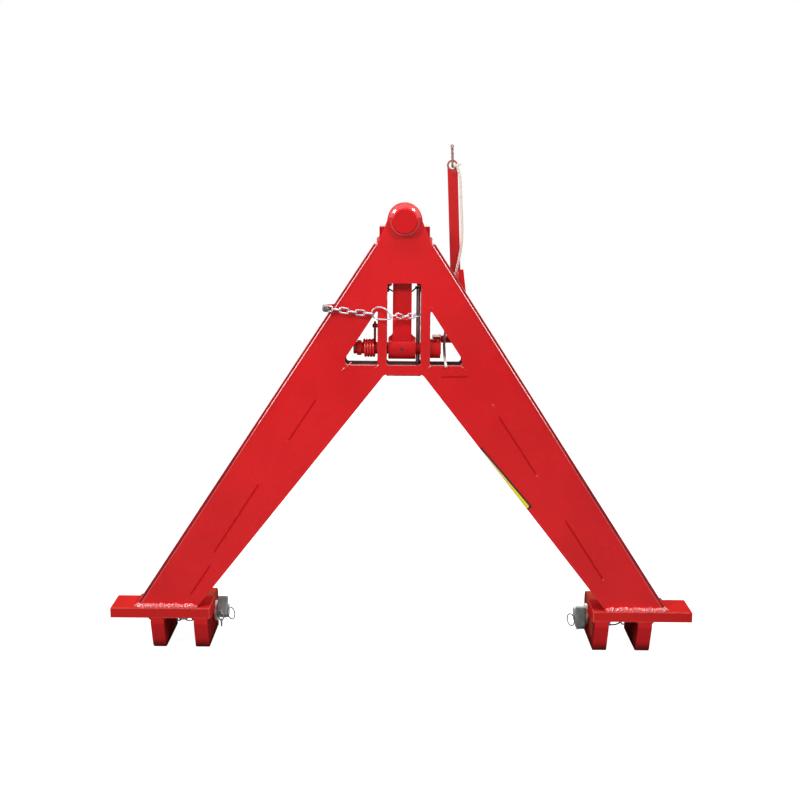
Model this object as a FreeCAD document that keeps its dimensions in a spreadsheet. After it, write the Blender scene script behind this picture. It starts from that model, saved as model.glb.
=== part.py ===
import FreeCAD, Part
import math
import os

from FreeCAD import Rotation, Vector
import Sketcher

# Hitch triangle of a three-point linkage, tractor half, in millimetres.
# Every piece is drawn in one drawing frame: x sideways, y rearwards from the
# front face of the front plate, z upwards from the top face of the base bars.
# place() then moves it into the part's own frame, whose origin lies on the
# ground, midway between the two sides and between the front and rear reach.

SIZES = [
    # The A of welded plates
    ("apex_height", 798.7, "height where the two outer edges would meet"),
    ("leg_lean", 0.6525, "sideways run of the outer edge per unit of rise"),
    ("crotch_height", 464, "height of the flat between the legs"),
    ("crotch_half", 36.7, "half width of that flat"),
    ("inner_lean", 0.784, "sideways run of the inner edge per unit of rise"),
    ("crotch_round", 9, "corner radius of the crotch"),
    ("plate", 8, "thickness of the front and rear plates"),
    ("box_depth", 65, "depth over both plates"),
    ("wall", 6, "thickness of the side walls and webs"),
    ("wall_setback", 1, "outer walls start this far behind the front face"),
    ("inner_setback", 4, "inner walls sit this far inside the plate edge"),
    ("web_inset", 70, "leg webs lie this far inside the outer edge"),
    ("web_top_drop", 34, "leg webs end this far below the crotch"),
    ("web_foot", 6, "height of the lower end of the leg webs"),
    # Neck and nose
    ("shoulder_drop", 87.7, "the outer edges end this far below the apex"),
    ("neck_half", 46, "half width of the neck"),
    ("neck_drop", 76.7, "neck corner below the apex"),
    ("nose_drop", 44.7, "nose centre below the apex"),
    ("nose_round", 33, "radius of the nose"),
    ("boss_round", 24.75, "radius of the nose boss"),
    ("boss_proud", 16, "boss stands out of the front face"),
    ("boss_chamfer", 2.5, "chamfer of the boss"),
    # Windows
    ("sill_rise", 18, "lower edge of the three windows above the crotch"),
    ("window_half", 33, "half width of the centre window"),
    ("window_drop", 161, "centre window of the front plate ends below the apex"),
    ("rear_window_drop", 130.7, "centre window of the rear plate ends below the apex"),
    ("window_round", 6, "corner radius of the windows"),
    ("strut_half", 48, "outer half width of the pair of uprights"),
    ("window_rib", 87.4, "sideways width of plate left outside the side windows"),
    ("window_end", 12.64, "height of the short end of the side windows"),
    ("window_point_round", 3, "corner radius at the top of the side windows"),
    ("strut_inner", 35, "inner faces of the upright bearing plates"),
    ("strut_outer", 47, "outer faces of the upright bearing plates"),
    ("strut_over", 2.3, "bearing plates end this far above the front window"),
    ("sill_plate", 10, "thickness of the sill plate"),
    # Top link bracket
    ("lug_inner", 28.4, "inner faces of the top link lugs"),
    ("lug_outer", 48.4, "outer faces of the top link lugs"),
    ("lug_bore", 25.7, "bore for the top link pin"),
    ("lug_bore_depth", 114, "bore axis behind the front face"),
    ("lug_bore_drop", 93.7, "bore axis below the apex"),
    ("lug_round", 36, "radius of the lugs round the bore"),
    ("lug_foot_drop", 90, "lower end of the lugs below the bore axis"),
    # Base bars and clevises
    ("clevis_spacing", 870, "between the centres of the two clevises"),
    ("clevis_gap", 57, "between the two ears of a clevis"),
    ("ear", 27.5, "thickness of an ear"),
    ("ear_drop", 88, "ear bottoms below the bar top"),
    ("ear_top", 3, "ear top below the bar top, behind the bar"),
    ("ear_toe", 16, "front end of the flat ear bottom"),
    ("ear_rear_round", 20, "radius of the upper rear corner of an ear"),
    ("ear_lip", 12, "height of an ear's upright front edge below the bar"),
    ("bar_thick", 20, "height of a base bar"),
    ("bar_inner", 375, "inner end of a base bar"),
    ("bar_outer", 569, "outer end of a base bar"),
    ("bar_proud", 8, "bars stand out of the front face"),
    ("bar_depth", 80, "depth of a base bar"),
    # Lower link pins
    ("link_pin", 28, "diameter of the lower link pins"),
    ("link_pin_depth", 100, "pin axis behind the front face"),
    ("link_pin_drop", 40, "pin axis below the bar top"),
    ("link_pin_tail", 28, "pin stands out of the inner ear"),
    ("link_pin_head", 38, "diameter of the pin head"),
    ("link_pin_head_thick", 8, "thickness of the pin head"),
    ("fit", 0.06, "radial clearance of the turning and sliding fits"),
    ("slack", 0.3, "gap between pieces that only lie beside each other"),
    ("washer_round", 20.5, "radius of the washers on the link pins"),
    ("washer", 6, "thickness of those washers"),
    # Linchpins
    ("linch_shank", 11, "diameter of a linchpin shank"),
    ("linch_reach", 12, "shank stands out behind the link pin"),
    ("linch_inset", 11, "shank axis inside the end of the link pin"),
    ("linch_head_wide", 20, "width of the cast head"),
    ("linch_head_tall", 42, "height of the cast head"),
    ("linch_head_deep", 12, "depth of the cast head"),
    ("linch_head_round", 2, "edge radius of the cast head"),
    ("linch_ring_round", 12, "radius of the linchpin ring"),
    ("linch_ring_wire", 2.4, "wire of the linchpin ring"),
    ("linch_ring_drop", 10, "ring pivot below the middle of the head"),
    ("linch_ring_turn", 30, "resting angle of the ring, degrees from rearwards"),
    ("linch_tilt_left", 42, "left linchpin head stands up by this angle, degrees"),
    ("linch_tilt_right", 0, "right linchpin head stands up by this angle, degrees"),
    # Latch and its shaft
    ("shaft", 23, "diameter of the cross shaft"),
    ("shaft_depth", 28, "shaft axis behind the front face"),
    ("shaft_rise", 30, "shaft axis above the sill"),
    ("shaft_left", 96, "left end of the shaft"),
    ("shaft_proud", 1, "shaft stands out of the lever hub"),
    ("bush_wall", 3.5, "wall of the shaft bushes"),
    ("bush_flange", 1.5, "thickness of the bush flanges"),
    ("bush_rim", 6.3, "bush flanges reach this far outside the bore"),
    ("latch_round", 21, "radius of the latch hub"),
    ("latch_half", 26, "half length of the latch hub"),
    ("latch_shift", 3.5, "latch centre left of the middle"),
    ("tongue_half", 18, "half width of the latch tongue"),
    ("tongue_rise", 134, "latch tongue ends this far above the shaft"),
    ("step_rise", 56, "step in the tongue's front face above the shaft"),
    ("tongue_low_face", 12, "front face of the tongue below the step"),
    ("tongue_face", 18, "front face of the tongue above the step"),
    ("tongue_back", 43, "rear face of the tongue"),
    ("tongue_nose", 4, "top of the tongue lies this far behind its front face"),
    ("tongue_heel", 6, "depth of the slant at the tongue's upper rear corner"),
    ("tongue_slant", 12, "height of that slant"),
    ("nipple_hole", 6, "diameter of the grease nipple recess"),
    ("nipple_sunk", 2, "grease nipple lies this deep in the recess"),
    # Spring and shaft end
    ("spring_round", 15.5, "mean radius of the torsion spring"),
    ("spring_wire", 5, "wire of the torsion spring"),
    ("spring_pitch", 5.2, "pitch of the torsion spring"),
    ("spring_turns", 4, "turns of the torsion spring"),
    ("spring_right", 55.5, "coil centre line starts this far left"),
    ("spring_leg", 48, "spring leg ends this far above the shaft"),
    ("stop_pin", 8, "diameter of the pin behind the spring leg"),
    ("stop_below", 8, "that pin lies this far below the end of the leg"),
    ("collar_round", 14.5, "radius of the collar on the shaft end"),
    ("collar_right", 80.5, "right end of the collar"),
    ("collar_left", 89, "left end of the collar"),
    ("cross_hole", 6, "diameter of the cross hole in the shaft end"),
    # Release lever
    ("lever_hub_round", 19, "radius of the lever hub"),
    ("lever_hub_left", 50, "left end of the lever hub"),
    ("lever_hub_right", 70, "right end of the lever hub"),
    ("set_screw", 6, "diameter of the set screw"),
    ("set_screw_tilt", 50, "screw axis above the forward direction, degrees"),
    ("set_screw_sunk", 2, "set screw lies this deep in its hole"),
    ("arm_left", 56, "left face of the lever arm"),
    ("arm_right", 70, "right face of the lever arm"),
    ("arm_half", 9, "half height of the lever arm"),
    ("arm_crest", 3, "arm stands this far above the lever hub"),
    ("arm_nose", 4, "arm reaches this far in front of the shaft axis"),
    ("arm_fall", 5, "arm's front end lies this far below its crest"),
    ("arm_rear", 97, "axis of the cross stub behind the front face"),
    ("arm_rise", 9, "cross stub axis above the shaft"),
    ("stub", 15, "diameter of the cross stub"),
    ("stub_right", 117, "right end of the cross stub"),
    ("lever_wide", 19.5, "width of the lever bar"),
    ("lever_thick", 8, "thickness of the lever bar"),
    ("lever_rise", 345, "eye centre above the shaft"),
    ("lever_top_x", 90, "eye centre right of the middle"),
    ("lever_foot_x", 104.5, "lever foot right of the middle"),
    ("eye_round", 10.5, "outer radius of the lever's eye"),
    ("eye_hole", 14, "diameter of the lever's eye"),
    ("loop_cord", 2.8, "thickness of the short loop in the eye"),
    ("guard_thick", 10, "thickness of the guard plate"),
    ("guard_left", 103, "left edge of the guard plate"),
    ("guard_wide", 20, "width of the guard plate low down"),
    ("guard_narrow", 9.5, "width of the guard plate at its top"),
    ("guard_rise", 63, "guard plate starts this far above the shaft"),
    ("guard_tall", 85, "height of the guard plate"),
    ("guard_lean", 1, "guard plate's left edge leans out by this much"),
    # Safety pin and chain
    ("pin", 8, "diameter of the safety pin"),
    ("pin_x", 27.2, "safety pin right of the middle"),
    ("pin_gap", 0.9, "safety pin clear of the shaft behind it"),
    ("pin_rise", 118, "safety pin ends this far above the shaft"),
    ("pin_chamfer", 1, "chamfer of the safety pin"),
    ("bolt_rise", 78, "chain bolt above the shaft"),
    ("bolt_out", 11.5, "chain bolt outside the A's outer edge"),
    ("bolt", 5, "diameter of the chain bolt"),
    ("bolt_head", 13, "diameter of the bolt head"),
    ("bolt_head_thick", 4, "thickness of the bolt head"),
    ("bolt_nut_thick", 5, "thickness of the nut"),
    ("bolt_end", 6, "bolt stands out behind the lug"),
    ("lug_half", 9, "half length of the chain lug on the wall"),
    ("lug_tip", 5.8, "half height of its tip, and how far it passes the bolt"),
    ("chain_front", 8, "chain lies this far in front of the plate"),
    ("link_wire", 3.2, "wire of the long chain"),
    ("link_wide", 12.6, "width of a link of the long chain"),
    ("link_pitch", 15.2, "step from link to link of the long chain"),
    ("short_wire", 2.5, "wire of the short chain"),
    ("short_wide", 10.4, "width of a link of the short chain"),
    ("short_pitch", 11.9, "step from link to link of the short chain"),
    ("link_gap", 0.2, "gap between the wires of two links"),
    ("short_gap", 0.6, "gap between the wires of two links of the short chain"),
    ("hoop_wire", 2.8, "wire of the big hoop"),
    ("hoop_seat", 2.1, "the hoop's corner lies this far inside the last link"),
    ("hoop_reach", 38.6, "the short chain starts this far right of that corner"),
    ("hoop_low", 5.4, "and this far below it"),
    ("eye_wire", 2.2, "wire of the eye round the safety pin"),
    ("eye_play", 0.3, "extra room of that eye round the pin"),
    ("tether", 2.5, "thickness of the black tether"),
    ("tether_drop", 11, "tether lies this far below the top of the safety pin"),
    ("tether_back", 4, "tether lies this far behind the tongue"),
    ("rope", 5.5, "thickness of the pull rope"),
    ("lanyard", 3, "thickness of the wire lanyard"),
    ("staple_wire", 3, "wire of the small eyes in the clevises"),
    ("staple_round", 4, "radius of those eyes"),
    ("staple_reach", 7.2, "centre of those eyes off the ear's face"),
    ("crimp_round", 2.6, "radius of the crimp on the wire end"),
    ("crimp_long", 8, "length of that crimp"),
    ("ear_chain_drop", 66, "clevis chain below the bar top"),
    ("ear_chain_depth", 122, "clevis chain behind the front face"),
]

# Places and widths that follow from the sizes above, each from earlier ones
DERIVED = [
    ("shoulder_height", "apex_height - shoulder_drop"),
    ("neck_height", "apex_height - neck_drop"),
    ("nose_height", "apex_height - nose_drop"),
    ("lug_bore_height", "apex_height - lug_bore_drop"),
    ("lug_foot", "lug_bore_height - lug_foot_drop"),
    ("window_top", "apex_height - window_drop"),
    ("rear_window_top", "apex_height - rear_window_drop"),
    ("strut_top", "window_top + strut_over"),
    ("web_top", "crotch_height - web_top_drop"),
    ("sill_height", "crotch_height + sill_rise"),
    ("window_reach", "(apex_height - sill_height - window_end) * leg_lean - window_rib"),
    ("shaft_height", "sill_height + shaft_rise"),
    ("tongue_top", "shaft_height + tongue_rise"),
    ("tongue_step", "shaft_height + step_rise"),
    ("spring_leg_top", "shaft_height + spring_leg"),
    ("stop_height", "spring_leg_top - stop_below"),
    ("arm_rear_height", "shaft_height + arm_rise"),
    ("lever_top", "shaft_height + lever_rise"),
    ("guard_foot", "shaft_height + guard_rise"),
    ("pin_top", "shaft_height + pin_rise"),
    ("bolt_height", "shaft_height + bolt_rise"),
    ("bolt_x", "(apex_height - bolt_height) * leg_lean + bolt_out"),
]

doc = FreeCAD.newDocument("hitch_triangle")
sheet = doc.addObject("Spreadsheet::Sheet", "Sizes")
nodes = {}
numbers = {"sqrt": math.sqrt}


def fill_sheet():
    """Name, value and meaning of every driving size, one row each."""
    for row, (name, value, meaning) in enumerate(SIZES, start=1):
        sheet.set(f"A{row}", meaning)
        sheet.set(f"B{row}", str(value))
        sheet.setAlias(f"B{row}", name)
    doc.recompute()
    for name, value, meaning in SIZES:
        numbers[name] = float(getattr(sheet, name))
    for name, formula in DERIVED:
        numbers[name] = calculate(formula)


def size(name):
    return numbers[name]


def bind(thing, name, formula):
    """Tie one property to a formula in which size names stand alone."""
    thing.setExpression(name, named(formula))


def named(formula):
    """Write Sizes. before every size name, and derived names in full."""
    words = []
    word = ""
    for letter in formula + " ":
        if letter.isalnum() or letter == "_":
            word += letter
            continue
        if word in derived:
            word = f"({named(derived[word])})"
        elif word in size_names:
            word = f"Sizes.{word}"
        words.append(word)
        words.append(letter)
        word = ""
    return "".join(words).strip()


size_names = {name for name, value, meaning in SIZES}
derived = dict(DERIVED)

# Lengths that several pieces share, as formulas of the sizes above
FRONT = "(boss_proud - lug_bore_depth - lug_round) / 2"
REAR = "(lug_bore_depth + lug_round)"
WALL_ACROSS = "(wall * sqrt(1 + leg_lean ^ 2))"
INNER_ACROSS = "(wall * sqrt(1 + inner_lean ^ 2))"
INNER_SHIFT = "(inner_setback * sqrt(1 + inner_lean ^ 2))"
CLEVIS = "(clevis_spacing / 2)"
EAR_INNER = "(clevis_spacing / 2 - clevis_gap / 2 - ear)"
EAR_OUTER = "(clevis_spacing / 2 + clevis_gap / 2 + ear)"
BORE = "(shaft / 2 + fit)"
PIN_DEPTH = "(shaft_depth + shaft / 2 + pin_gap + pin / 2)"
PIN_END = "(clevis_spacing / 2 - clevis_gap / 2 - ear - link_pin_tail)"
LINCH_X = "(clevis_spacing / 2 - clevis_gap / 2 - ear - link_pin_tail + linch_inset)"


def outer(height):
    """Half width of the A at its outer edges."""
    return f"((apex_height - ({height})) * leg_lean)"


def inner(height):
    """Half width of the opening between the legs."""
    return f"(crotch_half + (crotch_height - ({height})) * inner_lean)"


def calculate(formula):
    """Small reader for sums, products, powers, brackets and sqrt."""
    tokens = []
    word = ""
    for letter in formula + " ":
        if letter.isalnum() or letter in "_.":
            word += letter
            continue
        if word:
            tokens.append(word)
        word = ""
        if letter != " ":
            tokens.append(letter)
    tokens.append("end")

    def take():
        return tokens.pop(0)

    def factor():
        token = take()
        if token == "-":
            return -factor()
        if token == "(":
            number = total()
            take()
        elif token == "sqrt":
            take()
            number = math.sqrt(total())
            take()
        else:
            number = numbers[token] if token in numbers else float(token)
        if tokens[0] == "^":
            take()
            number = number ** factor()
        return number

    def product():
        number = factor()
        while tokens[0] in "*/":
            if take() == "*":
                number = number * factor()
            else:
                number = number / factor()
        return number

    def total():
        number = product()
        while tokens[0] in "+-":
            if take() == "+":
                number = number + product()
            else:
                number = number - product()
        return number

    return total()


def point(x, y, z):
    """A point of the drawing frame from three formulas or numbers."""
    return Vector(calculate(str(x)), calculate(str(y)), calculate(str(z)))


def place(thing, x="0", y="0", z="0"):
    """Move a finished piece from the drawing frame into the part's frame."""
    bind(thing, "Placement.Base.x", x)
    bind(thing, "Placement.Base.y", f"{FRONT} + ({y})")
    bind(thing, "Placement.Base.z", f"ear_drop + ({z})")


def node(thing, label, x="0", y="0", z="0"):
    """Name a finished piece and put it where it belongs."""
    thing.Label = label
    place(thing, x, y, z)
    nodes[label] = thing
    return thing


def solid_node(label, shape):
    """A piece whose curve no single feature gives, such as a bent wire."""
    thing = doc.addObject("Part::Feature", label)
    thing.Shape = shape
    return node(thing, label)


# Sketched plates


def origin_plane(body, role):
    return [part for part in body.Origin.OriginFeatures if part.Role == role][0]


def sketch_polygon(body, name, role, corners):
    """Closed outline on an origin plane, each corner tied to two formulas."""
    sketch = body.newObject("Sketcher::SketchObject", name)
    sketch.AttachmentSupport = [(origin_plane(body, role), "")]
    sketch.MapMode = "FlatFace"
    spots = [Vector(calculate(across), calculate(up), 0) for across, up in corners]
    count = len(spots)
    sketch.addGeometry([Part.LineSegment(spots[i], spots[(i + 1) % count])
                        for i in range(count)])
    rules = [Sketcher.Constraint("Coincident", i, 2, (i + 1) % count, 1)
             for i in range(count)]
    for i in range(count):
        rules.append(Sketcher.Constraint("DistanceX", -1, 1, i, 1, spots[i].x))
        rules.append(Sketcher.Constraint("DistanceY", -1, 1, i, 1, spots[i].y))
    sketch.addConstraint(rules)
    for i, (across, up) in enumerate(corners):
        bind(sketch, f"Constraints[{count + 2 * i}]", across)
        bind(sketch, f"Constraints[{count + 2 * i + 1}]", up)
    return sketch


def sketch_circle(body, name, role, across, up, radius):
    """Circle on an origin plane, tied to three formulas."""
    sketch = body.newObject("Sketcher::SketchObject", name)
    sketch.AttachmentSupport = [(origin_plane(body, role), "")]
    sketch.MapMode = "FlatFace"
    centre = Vector(calculate(across), calculate(up), 0)
    sketch.addGeometry(Part.Circle(centre, Vector(0, 0, 1), calculate(radius)))
    sketch.addConstraint([
        Sketcher.Constraint("DistanceX", -1, 1, 0, 3, centre.x),
        Sketcher.Constraint("DistanceY", -1, 1, 0, 3, centre.y),
        Sketcher.Constraint("Radius", 0, calculate(radius)),
    ])
    bind(sketch, "Constraints[0]", across)
    bind(sketch, "Constraints[1]", up)
    bind(sketch, "Constraints[2]", radius)
    return sketch


def pad(body, sketch, thick, rearwards):
    """Pad a sketch: rearwards from the XZ plane, else along the normal."""
    feature = body.newObject("PartDesign::Pad", f"{sketch.Name}_pad")
    feature.Profile = sketch
    bind(feature, "Length", thick)
    feature.Reversed = rearwards
    return feature


def pocket(body, sketch, deep, rearwards):
    """Cut a sketch through, in the direction in which pad() would build."""
    feature = body.newObject("PartDesign::Pocket", f"{sketch.Name}_cut")
    feature.Profile = sketch
    bind(feature, "Length", deep)
    feature.Reversed = not rearwards
    doc.recompute()
    if feature.Shape.Volume >= feature.BaseFeature.Shape.Volume:
        raise ValueError(f"{sketch.Name} cuts nothing")
    return feature


def round_edges(body, radius, axis, spots):
    """Round the edges along one axis that pass through the given spots."""
    doc.recompute()
    base = body.Tip
    keep = {"x": lambda p: (p.y, p.z), "y": lambda p: (p.x, p.z)}[axis]
    chosen = []
    for number, edge in enumerate(base.Shape.Edges, start=1):
        if len(edge.Vertexes) != 2:
            continue
        start, end = (vertex.Point for vertex in edge.Vertexes)
        if math.dist(keep(start), keep(end)) > 0.01:
            continue
        if any(math.dist(keep(start), spot) < 0.05 for spot in spots):
            chosen.append(f"Edge{number}")
    feature = body.newObject("PartDesign::Fillet", f"{body.Name}_round")
    feature.Base = (base, chosen)
    bind(feature, "Radius", radius)
    return feature


def xz_plate(label, corners, thick, y):
    """Plate whose outline is seen from the front, its front face at y."""
    body = doc.addObject("PartDesign::Body", label)
    outline = sketch_polygon(body, f"{label}_outline", "XZ_Plane", corners)
    pad(body, outline, thick, True)
    return node(body, label, y=y)


def yz_plate(label, corners, thick, x):
    """Plate whose outline is seen from the side, its left face at x."""
    body = doc.addObject("PartDesign::Body", label)
    outline = sketch_polygon(body, f"{label}_outline", "YZ_Plane", corners)
    pad(body, outline, thick, False)
    return node(body, label, x=x)


def side_spots(spots):
    """Number pairs from formula pairs, for round_edges."""
    return [(calculate(across), calculate(up)) for across, up in spots]


# Solids and booleans in the drawing frame


def box(name, x, y, z, length, width, height):
    thing = doc.addObject("Part::Box", name)
    for key, formula in (("Length", length), ("Width", width), ("Height", height),
                         ("Placement.Base.x", x), ("Placement.Base.y", y),
                         ("Placement.Base.z", z)):
        bind(thing, key, formula)
    return thing


AXES = {
    "x": Rotation(Vector(0, 1, 0), 90),
    "y": Rotation(Vector(1, 0, 0), -90),
    "z": Rotation(),
}


def rod(name, axis, x, y, z, radius, length):
    """Cylinder that starts at a point and runs along an axis."""
    thing = doc.addObject("Part::Cylinder", name)
    thing.Placement = FreeCAD.Placement(Vector(), AXES[axis])
    for key, formula in (("Radius", radius), ("Height", length),
                         ("Placement.Base.x", x), ("Placement.Base.y", y),
                         ("Placement.Base.z", z)):
        bind(thing, key, formula)
    return thing


def fuse(name, things):
    thing = doc.addObject("Part::MultiFuse", name)
    thing.Shapes = things
    return thing


def cut(name, base, tool):
    thing = doc.addObject("Part::Cut", name)
    thing.Base = base
    thing.Tool = tool
    return thing


def ring(name, axis, x, y, z, inside, outside, length):
    """Tube: a rod with a coaxial bore."""
    body = rod(f"{name}_body", axis, x, y, z, outside, length)
    bore = rod(f"{name}_bore", axis, x, y, z, inside, length)
    return cut(name, body, bore)


# Bent wires, cords and chain links


def smooth_path(points, closed=False):
    """Straight runs joined by tangent arcs, each as large as its runs allow."""
    count = len(points)
    turns = range(count) if closed else range(1, count - 1)
    edges = []
    radii = []
    last = points[0]
    first = None
    for i in turns:
        before = points[i - 1] - points[i]
        after = points[(i + 1) % count] - points[i]
        half = (math.pi - before.getAngle(after)) / 2
        reach = 0.45 * min(before.Length, after.Length)
        radii.append(reach / math.tan(half))
        start = points[i] + before * (reach / before.Length)
        end = points[i] + after * (reach / after.Length)
        inward = (before.normalize() + after.normalize()).normalize()
        middle = points[i] + inward * (radii[-1] / math.cos(half) - radii[-1])
        if first is None and closed:
            first = start
        else:
            edges.append(Part.LineSegment(last, start).toShape())
        edges.append(Part.Arc(start, middle, end).toShape())
        last = end
    edges.append(Part.LineSegment(last, first if closed else points[-1]).toShape())
    return Part.Wire(edges), radii


def tube(points, thick, closed=False):
    """Round bar or cord along a smooth path."""
    wire, radii = smooth_path(points, closed)
    start = wire.Edges[0]
    spot = start.valueAt(start.FirstParameter)
    along = start.tangentAt(start.FirstParameter)
    section = Part.Wire([Part.Circle(spot, along, thick / 2).toShape()])
    return wire.makePipeShell([section], True, False), radii


def link(wire, wide, pitch, gap):
    """One chain link, flat in the xy plane, long along x, centred."""
    bend = (wide - wire) / 2
    half = pitch / 2 + (wire + gap) / 2 - bend
    bars = []
    for way in (-1, 1):
        bow = Part.makeTorus(bend, wire / 2, Vector(), Vector(0, 0, 1), -180, 180, 180)
        bow.rotate(Vector(), Vector(0, 0, 1), -90 * way)
        bow.translate(Vector(way * half, 0, 0))
        bars.append(bow)
        bars.append(Part.makeCylinder(wire / 2, 2 * half, Vector(-half, way * bend, 0),
                                      Vector(1, 0, 0)))
    return bars[0].fuse(bars[1:]).removeSplitter()


# Ways in which a link can lie: its flat side facing forwards, up or sideways
FACING = Vector(0, 1, 0)
LEVEL = Vector(0, 0, 1)
EDGEWAYS = Vector(1, 0, 0)


def chain(start, steps, kind, pitch, sides):
    """Links hooked into each other; each step gives the heading of one link."""
    wire, wide, gap = (size(f"{kind}_{name}") for name in ("wire", "wide", "gap"))
    links = []
    spot = start
    for number, step in enumerate(steps):
        along = Vector(*step).normalize()
        across = sides[number % 2].cross(along).normalize()
        turn = Rotation(along, across, along.cross(across), "XYZ")
        piece = link(wire, wide, pitch, gap)
        piece.Placement = FreeCAD.Placement(spot + along * (pitch / 2), turn)
        links.append(piece)
        spot = spot + along * pitch
    return Part.makeCompound(links), spot


# The welded A


def a_corners():
    """Outline of the front and rear plates without the round nose."""
    right = [
        (inner("0"), "0"),
        (f"{outer('0')} - {WALL_ACROSS}", "0"),
        (f"{outer('shoulder_height')} - {WALL_ACROSS}", "shoulder_height"),
        ("neck_half", "neck_height"),
        ("nose_round", "nose_height"),
    ]
    left = [(f"-({across})", up) for across, up in reversed(right)]
    crotch = [("-crotch_half", "crotch_height"), ("crotch_half", "crotch_height")]
    return right + left + crotch


def side_window(side):
    """Corners of a triangular window: upright, slant, short end, sill."""
    slant = f"((apex_height - {{}} ) - (window_rib / leg_lean))"
    point_height = slant.format("strut_half / leg_lean")
    reach_height = slant.format("window_reach / leg_lean")
    return [
        (f"{side} * strut_half", "sill_height"),
        (f"{side} * strut_half", point_height),
        (f"{side} * window_reach", reach_height),
        (f"{side} * window_reach", "sill_height"),
    ]


def a_plate(label, y, window_top):
    """Front or rear plate: the A with its nose, boss hole and three windows."""
    body = doc.addObject("PartDesign::Body", label)
    outline = sketch_polygon(body, f"{label}_outline", "XZ_Plane", a_corners())
    pad(body, outline, "plate", True)
    nose = sketch_circle(body, f"{label}_nose", "XZ_Plane", "0", "nose_height", "nose_round")
    pad(body, nose, "plate", True)
    hole = sketch_circle(body, f"{label}_hole", "XZ_Plane", "0", "nose_height",
                         "boss_round + fit")
    pocket(body, hole, "plate", True)
    centre = [("-window_half", "sill_height"), ("window_half", "sill_height"),
              ("window_half", window_top), ("-window_half", window_top)]
    pocket(body, sketch_polygon(body, f"{label}_window", "XZ_Plane", centre), "plate", True)
    for side in (-1, 1):
        corners = side_window(side)
        name = f"{label}_window{side + 2}"
        pocket(body, sketch_polygon(body, name, "XZ_Plane", corners), "plate", True)
    round_edges(body, "crotch_round", "y", side_spots(
        [("-crotch_half", "crotch_height"), ("crotch_half", "crotch_height")]))
    round_edges(body, "window_round", "y", side_spots(
        centre + [spot for side in (-1, 1)
                  for spot in side_window(side)[:1] + side_window(side)[2:]]))
    round_edges(body, "window_point_round", "y", side_spots(
        [side_window(side)[1] for side in (-1, 1)]))
    node(body, label, y=y)


def outer_wall(label, side):
    """Outer side wall of a leg, its outer face on the A's outer edge."""
    corners = [
        (f"{side} * {outer('0')}", "0"),
        (f"{side} * {outer('shoulder_height')}", "shoulder_height"),
        (f"{side} * ({outer('shoulder_height')} - {WALL_ACROSS})", "shoulder_height"),
        (f"{side} * ({outer('0')} - {WALL_ACROSS})", "0"),
    ]
    xz_plate(label, corners, "box_depth - 2 * wall_setback", "wall_setback")


def between_plates(label, corners):
    """Piece that fills the depth between the front and rear plates."""
    xz_plate(label, corners, "box_depth - 2 * plate", "plate")


def inner_wall(label, side):
    """Inner side wall of a leg, a little inside the plates' edge."""
    near = f"({inner('0')} + {INNER_SHIFT})"
    high = f"({inner('crotch_height')} + {INNER_SHIFT})"
    between_plates(label, [
        (f"{side} * {near}", "0"),
        (f"{side} * ({near} + {INNER_ACROSS})", "0"),
        (f"{side} * ({high} + {INNER_ACROSS})", "crotch_height"),
        (f"{side} * {high}", "crotch_height"),
    ])


def leg_web(label, side):
    """Long web inside a leg, behind the stitch welds of the front plate."""
    inset = "(web_inset * sqrt(1 + leg_lean ^ 2))"
    between_plates(label, [
        (f"{side} * ({outer('web_foot')} - {inset})", "web_foot"),
        (f"{side} * ({outer('web_top')} - {inset})", "web_top"),
        (f"{side} * ({outer('web_top')} - {inset} - {WALL_ACROSS})", "web_top"),
        (f"{side} * ({outer('web_foot')} - {inset} - {WALL_ACROSS})", "web_foot"),
    ])


def crotch_plate():
    """Flat plate that closes the legs under the sill."""
    half = f"({inner('crotch_height')} + {INNER_SHIFT} + {INNER_ACROSS})"
    between_plates("crotch_plate", [
        (f"-{half}", "crotch_height"), (half, "crotch_height"),
        (half, "crotch_height + wall"), (f"-{half}", "crotch_height + wall")])


def sill_plate():
    """Plate under the three windows, with the safety pin's lower hole."""
    half = "(window_reach + wall)"
    base = box("sill_base", f"-{half}", "plate", "sill_height - sill_plate",
               f"2 * {half}", "box_depth - 2 * plate", "sill_plate")
    hole = rod("sill_hole", "z", "pin_x", PIN_DEPTH, "sill_height - sill_plate",
               "pin / 2 + fit", "sill_plate")
    node(cut("sill", base, hole), "sill_plate")


def strut_plate(label, side):
    """Upright bearing plate beside the centre window, bored for the shaft."""
    left = "strut_inner" if side > 0 else "-strut_outer"
    thick = "(strut_outer - strut_inner)"
    base = box(f"{label}_base", left, "plate", "sill_height", thick,
               "box_depth - 2 * plate", "strut_top - sill_height")
    bore = rod(f"{label}_bore", "x", left, "shaft_depth", "shaft_height",
               f"{BORE} + bush_wall", thick)
    node(cut(f"{label}_cut", base, bore), label)


def apex_boss():
    """Round bar through the nose of both plates, proud at the front."""
    base = rod("boss_base", "y", "0", "-boss_proud", "nose_height", "boss_round",
               "boss_proud + box_depth")
    doc.recompute()
    edges = [i for i, edge in enumerate(base.Shape.Edges, start=1)
             if isinstance(edge.Curve, Part.Circle)]
    boss = doc.addObject("Part::Chamfer", "boss")
    boss.Base = base
    boss.Edges = [(i, size("boss_chamfer"), size("boss_chamfer")) for i in edges]
    node(boss, "apex_boss")


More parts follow.
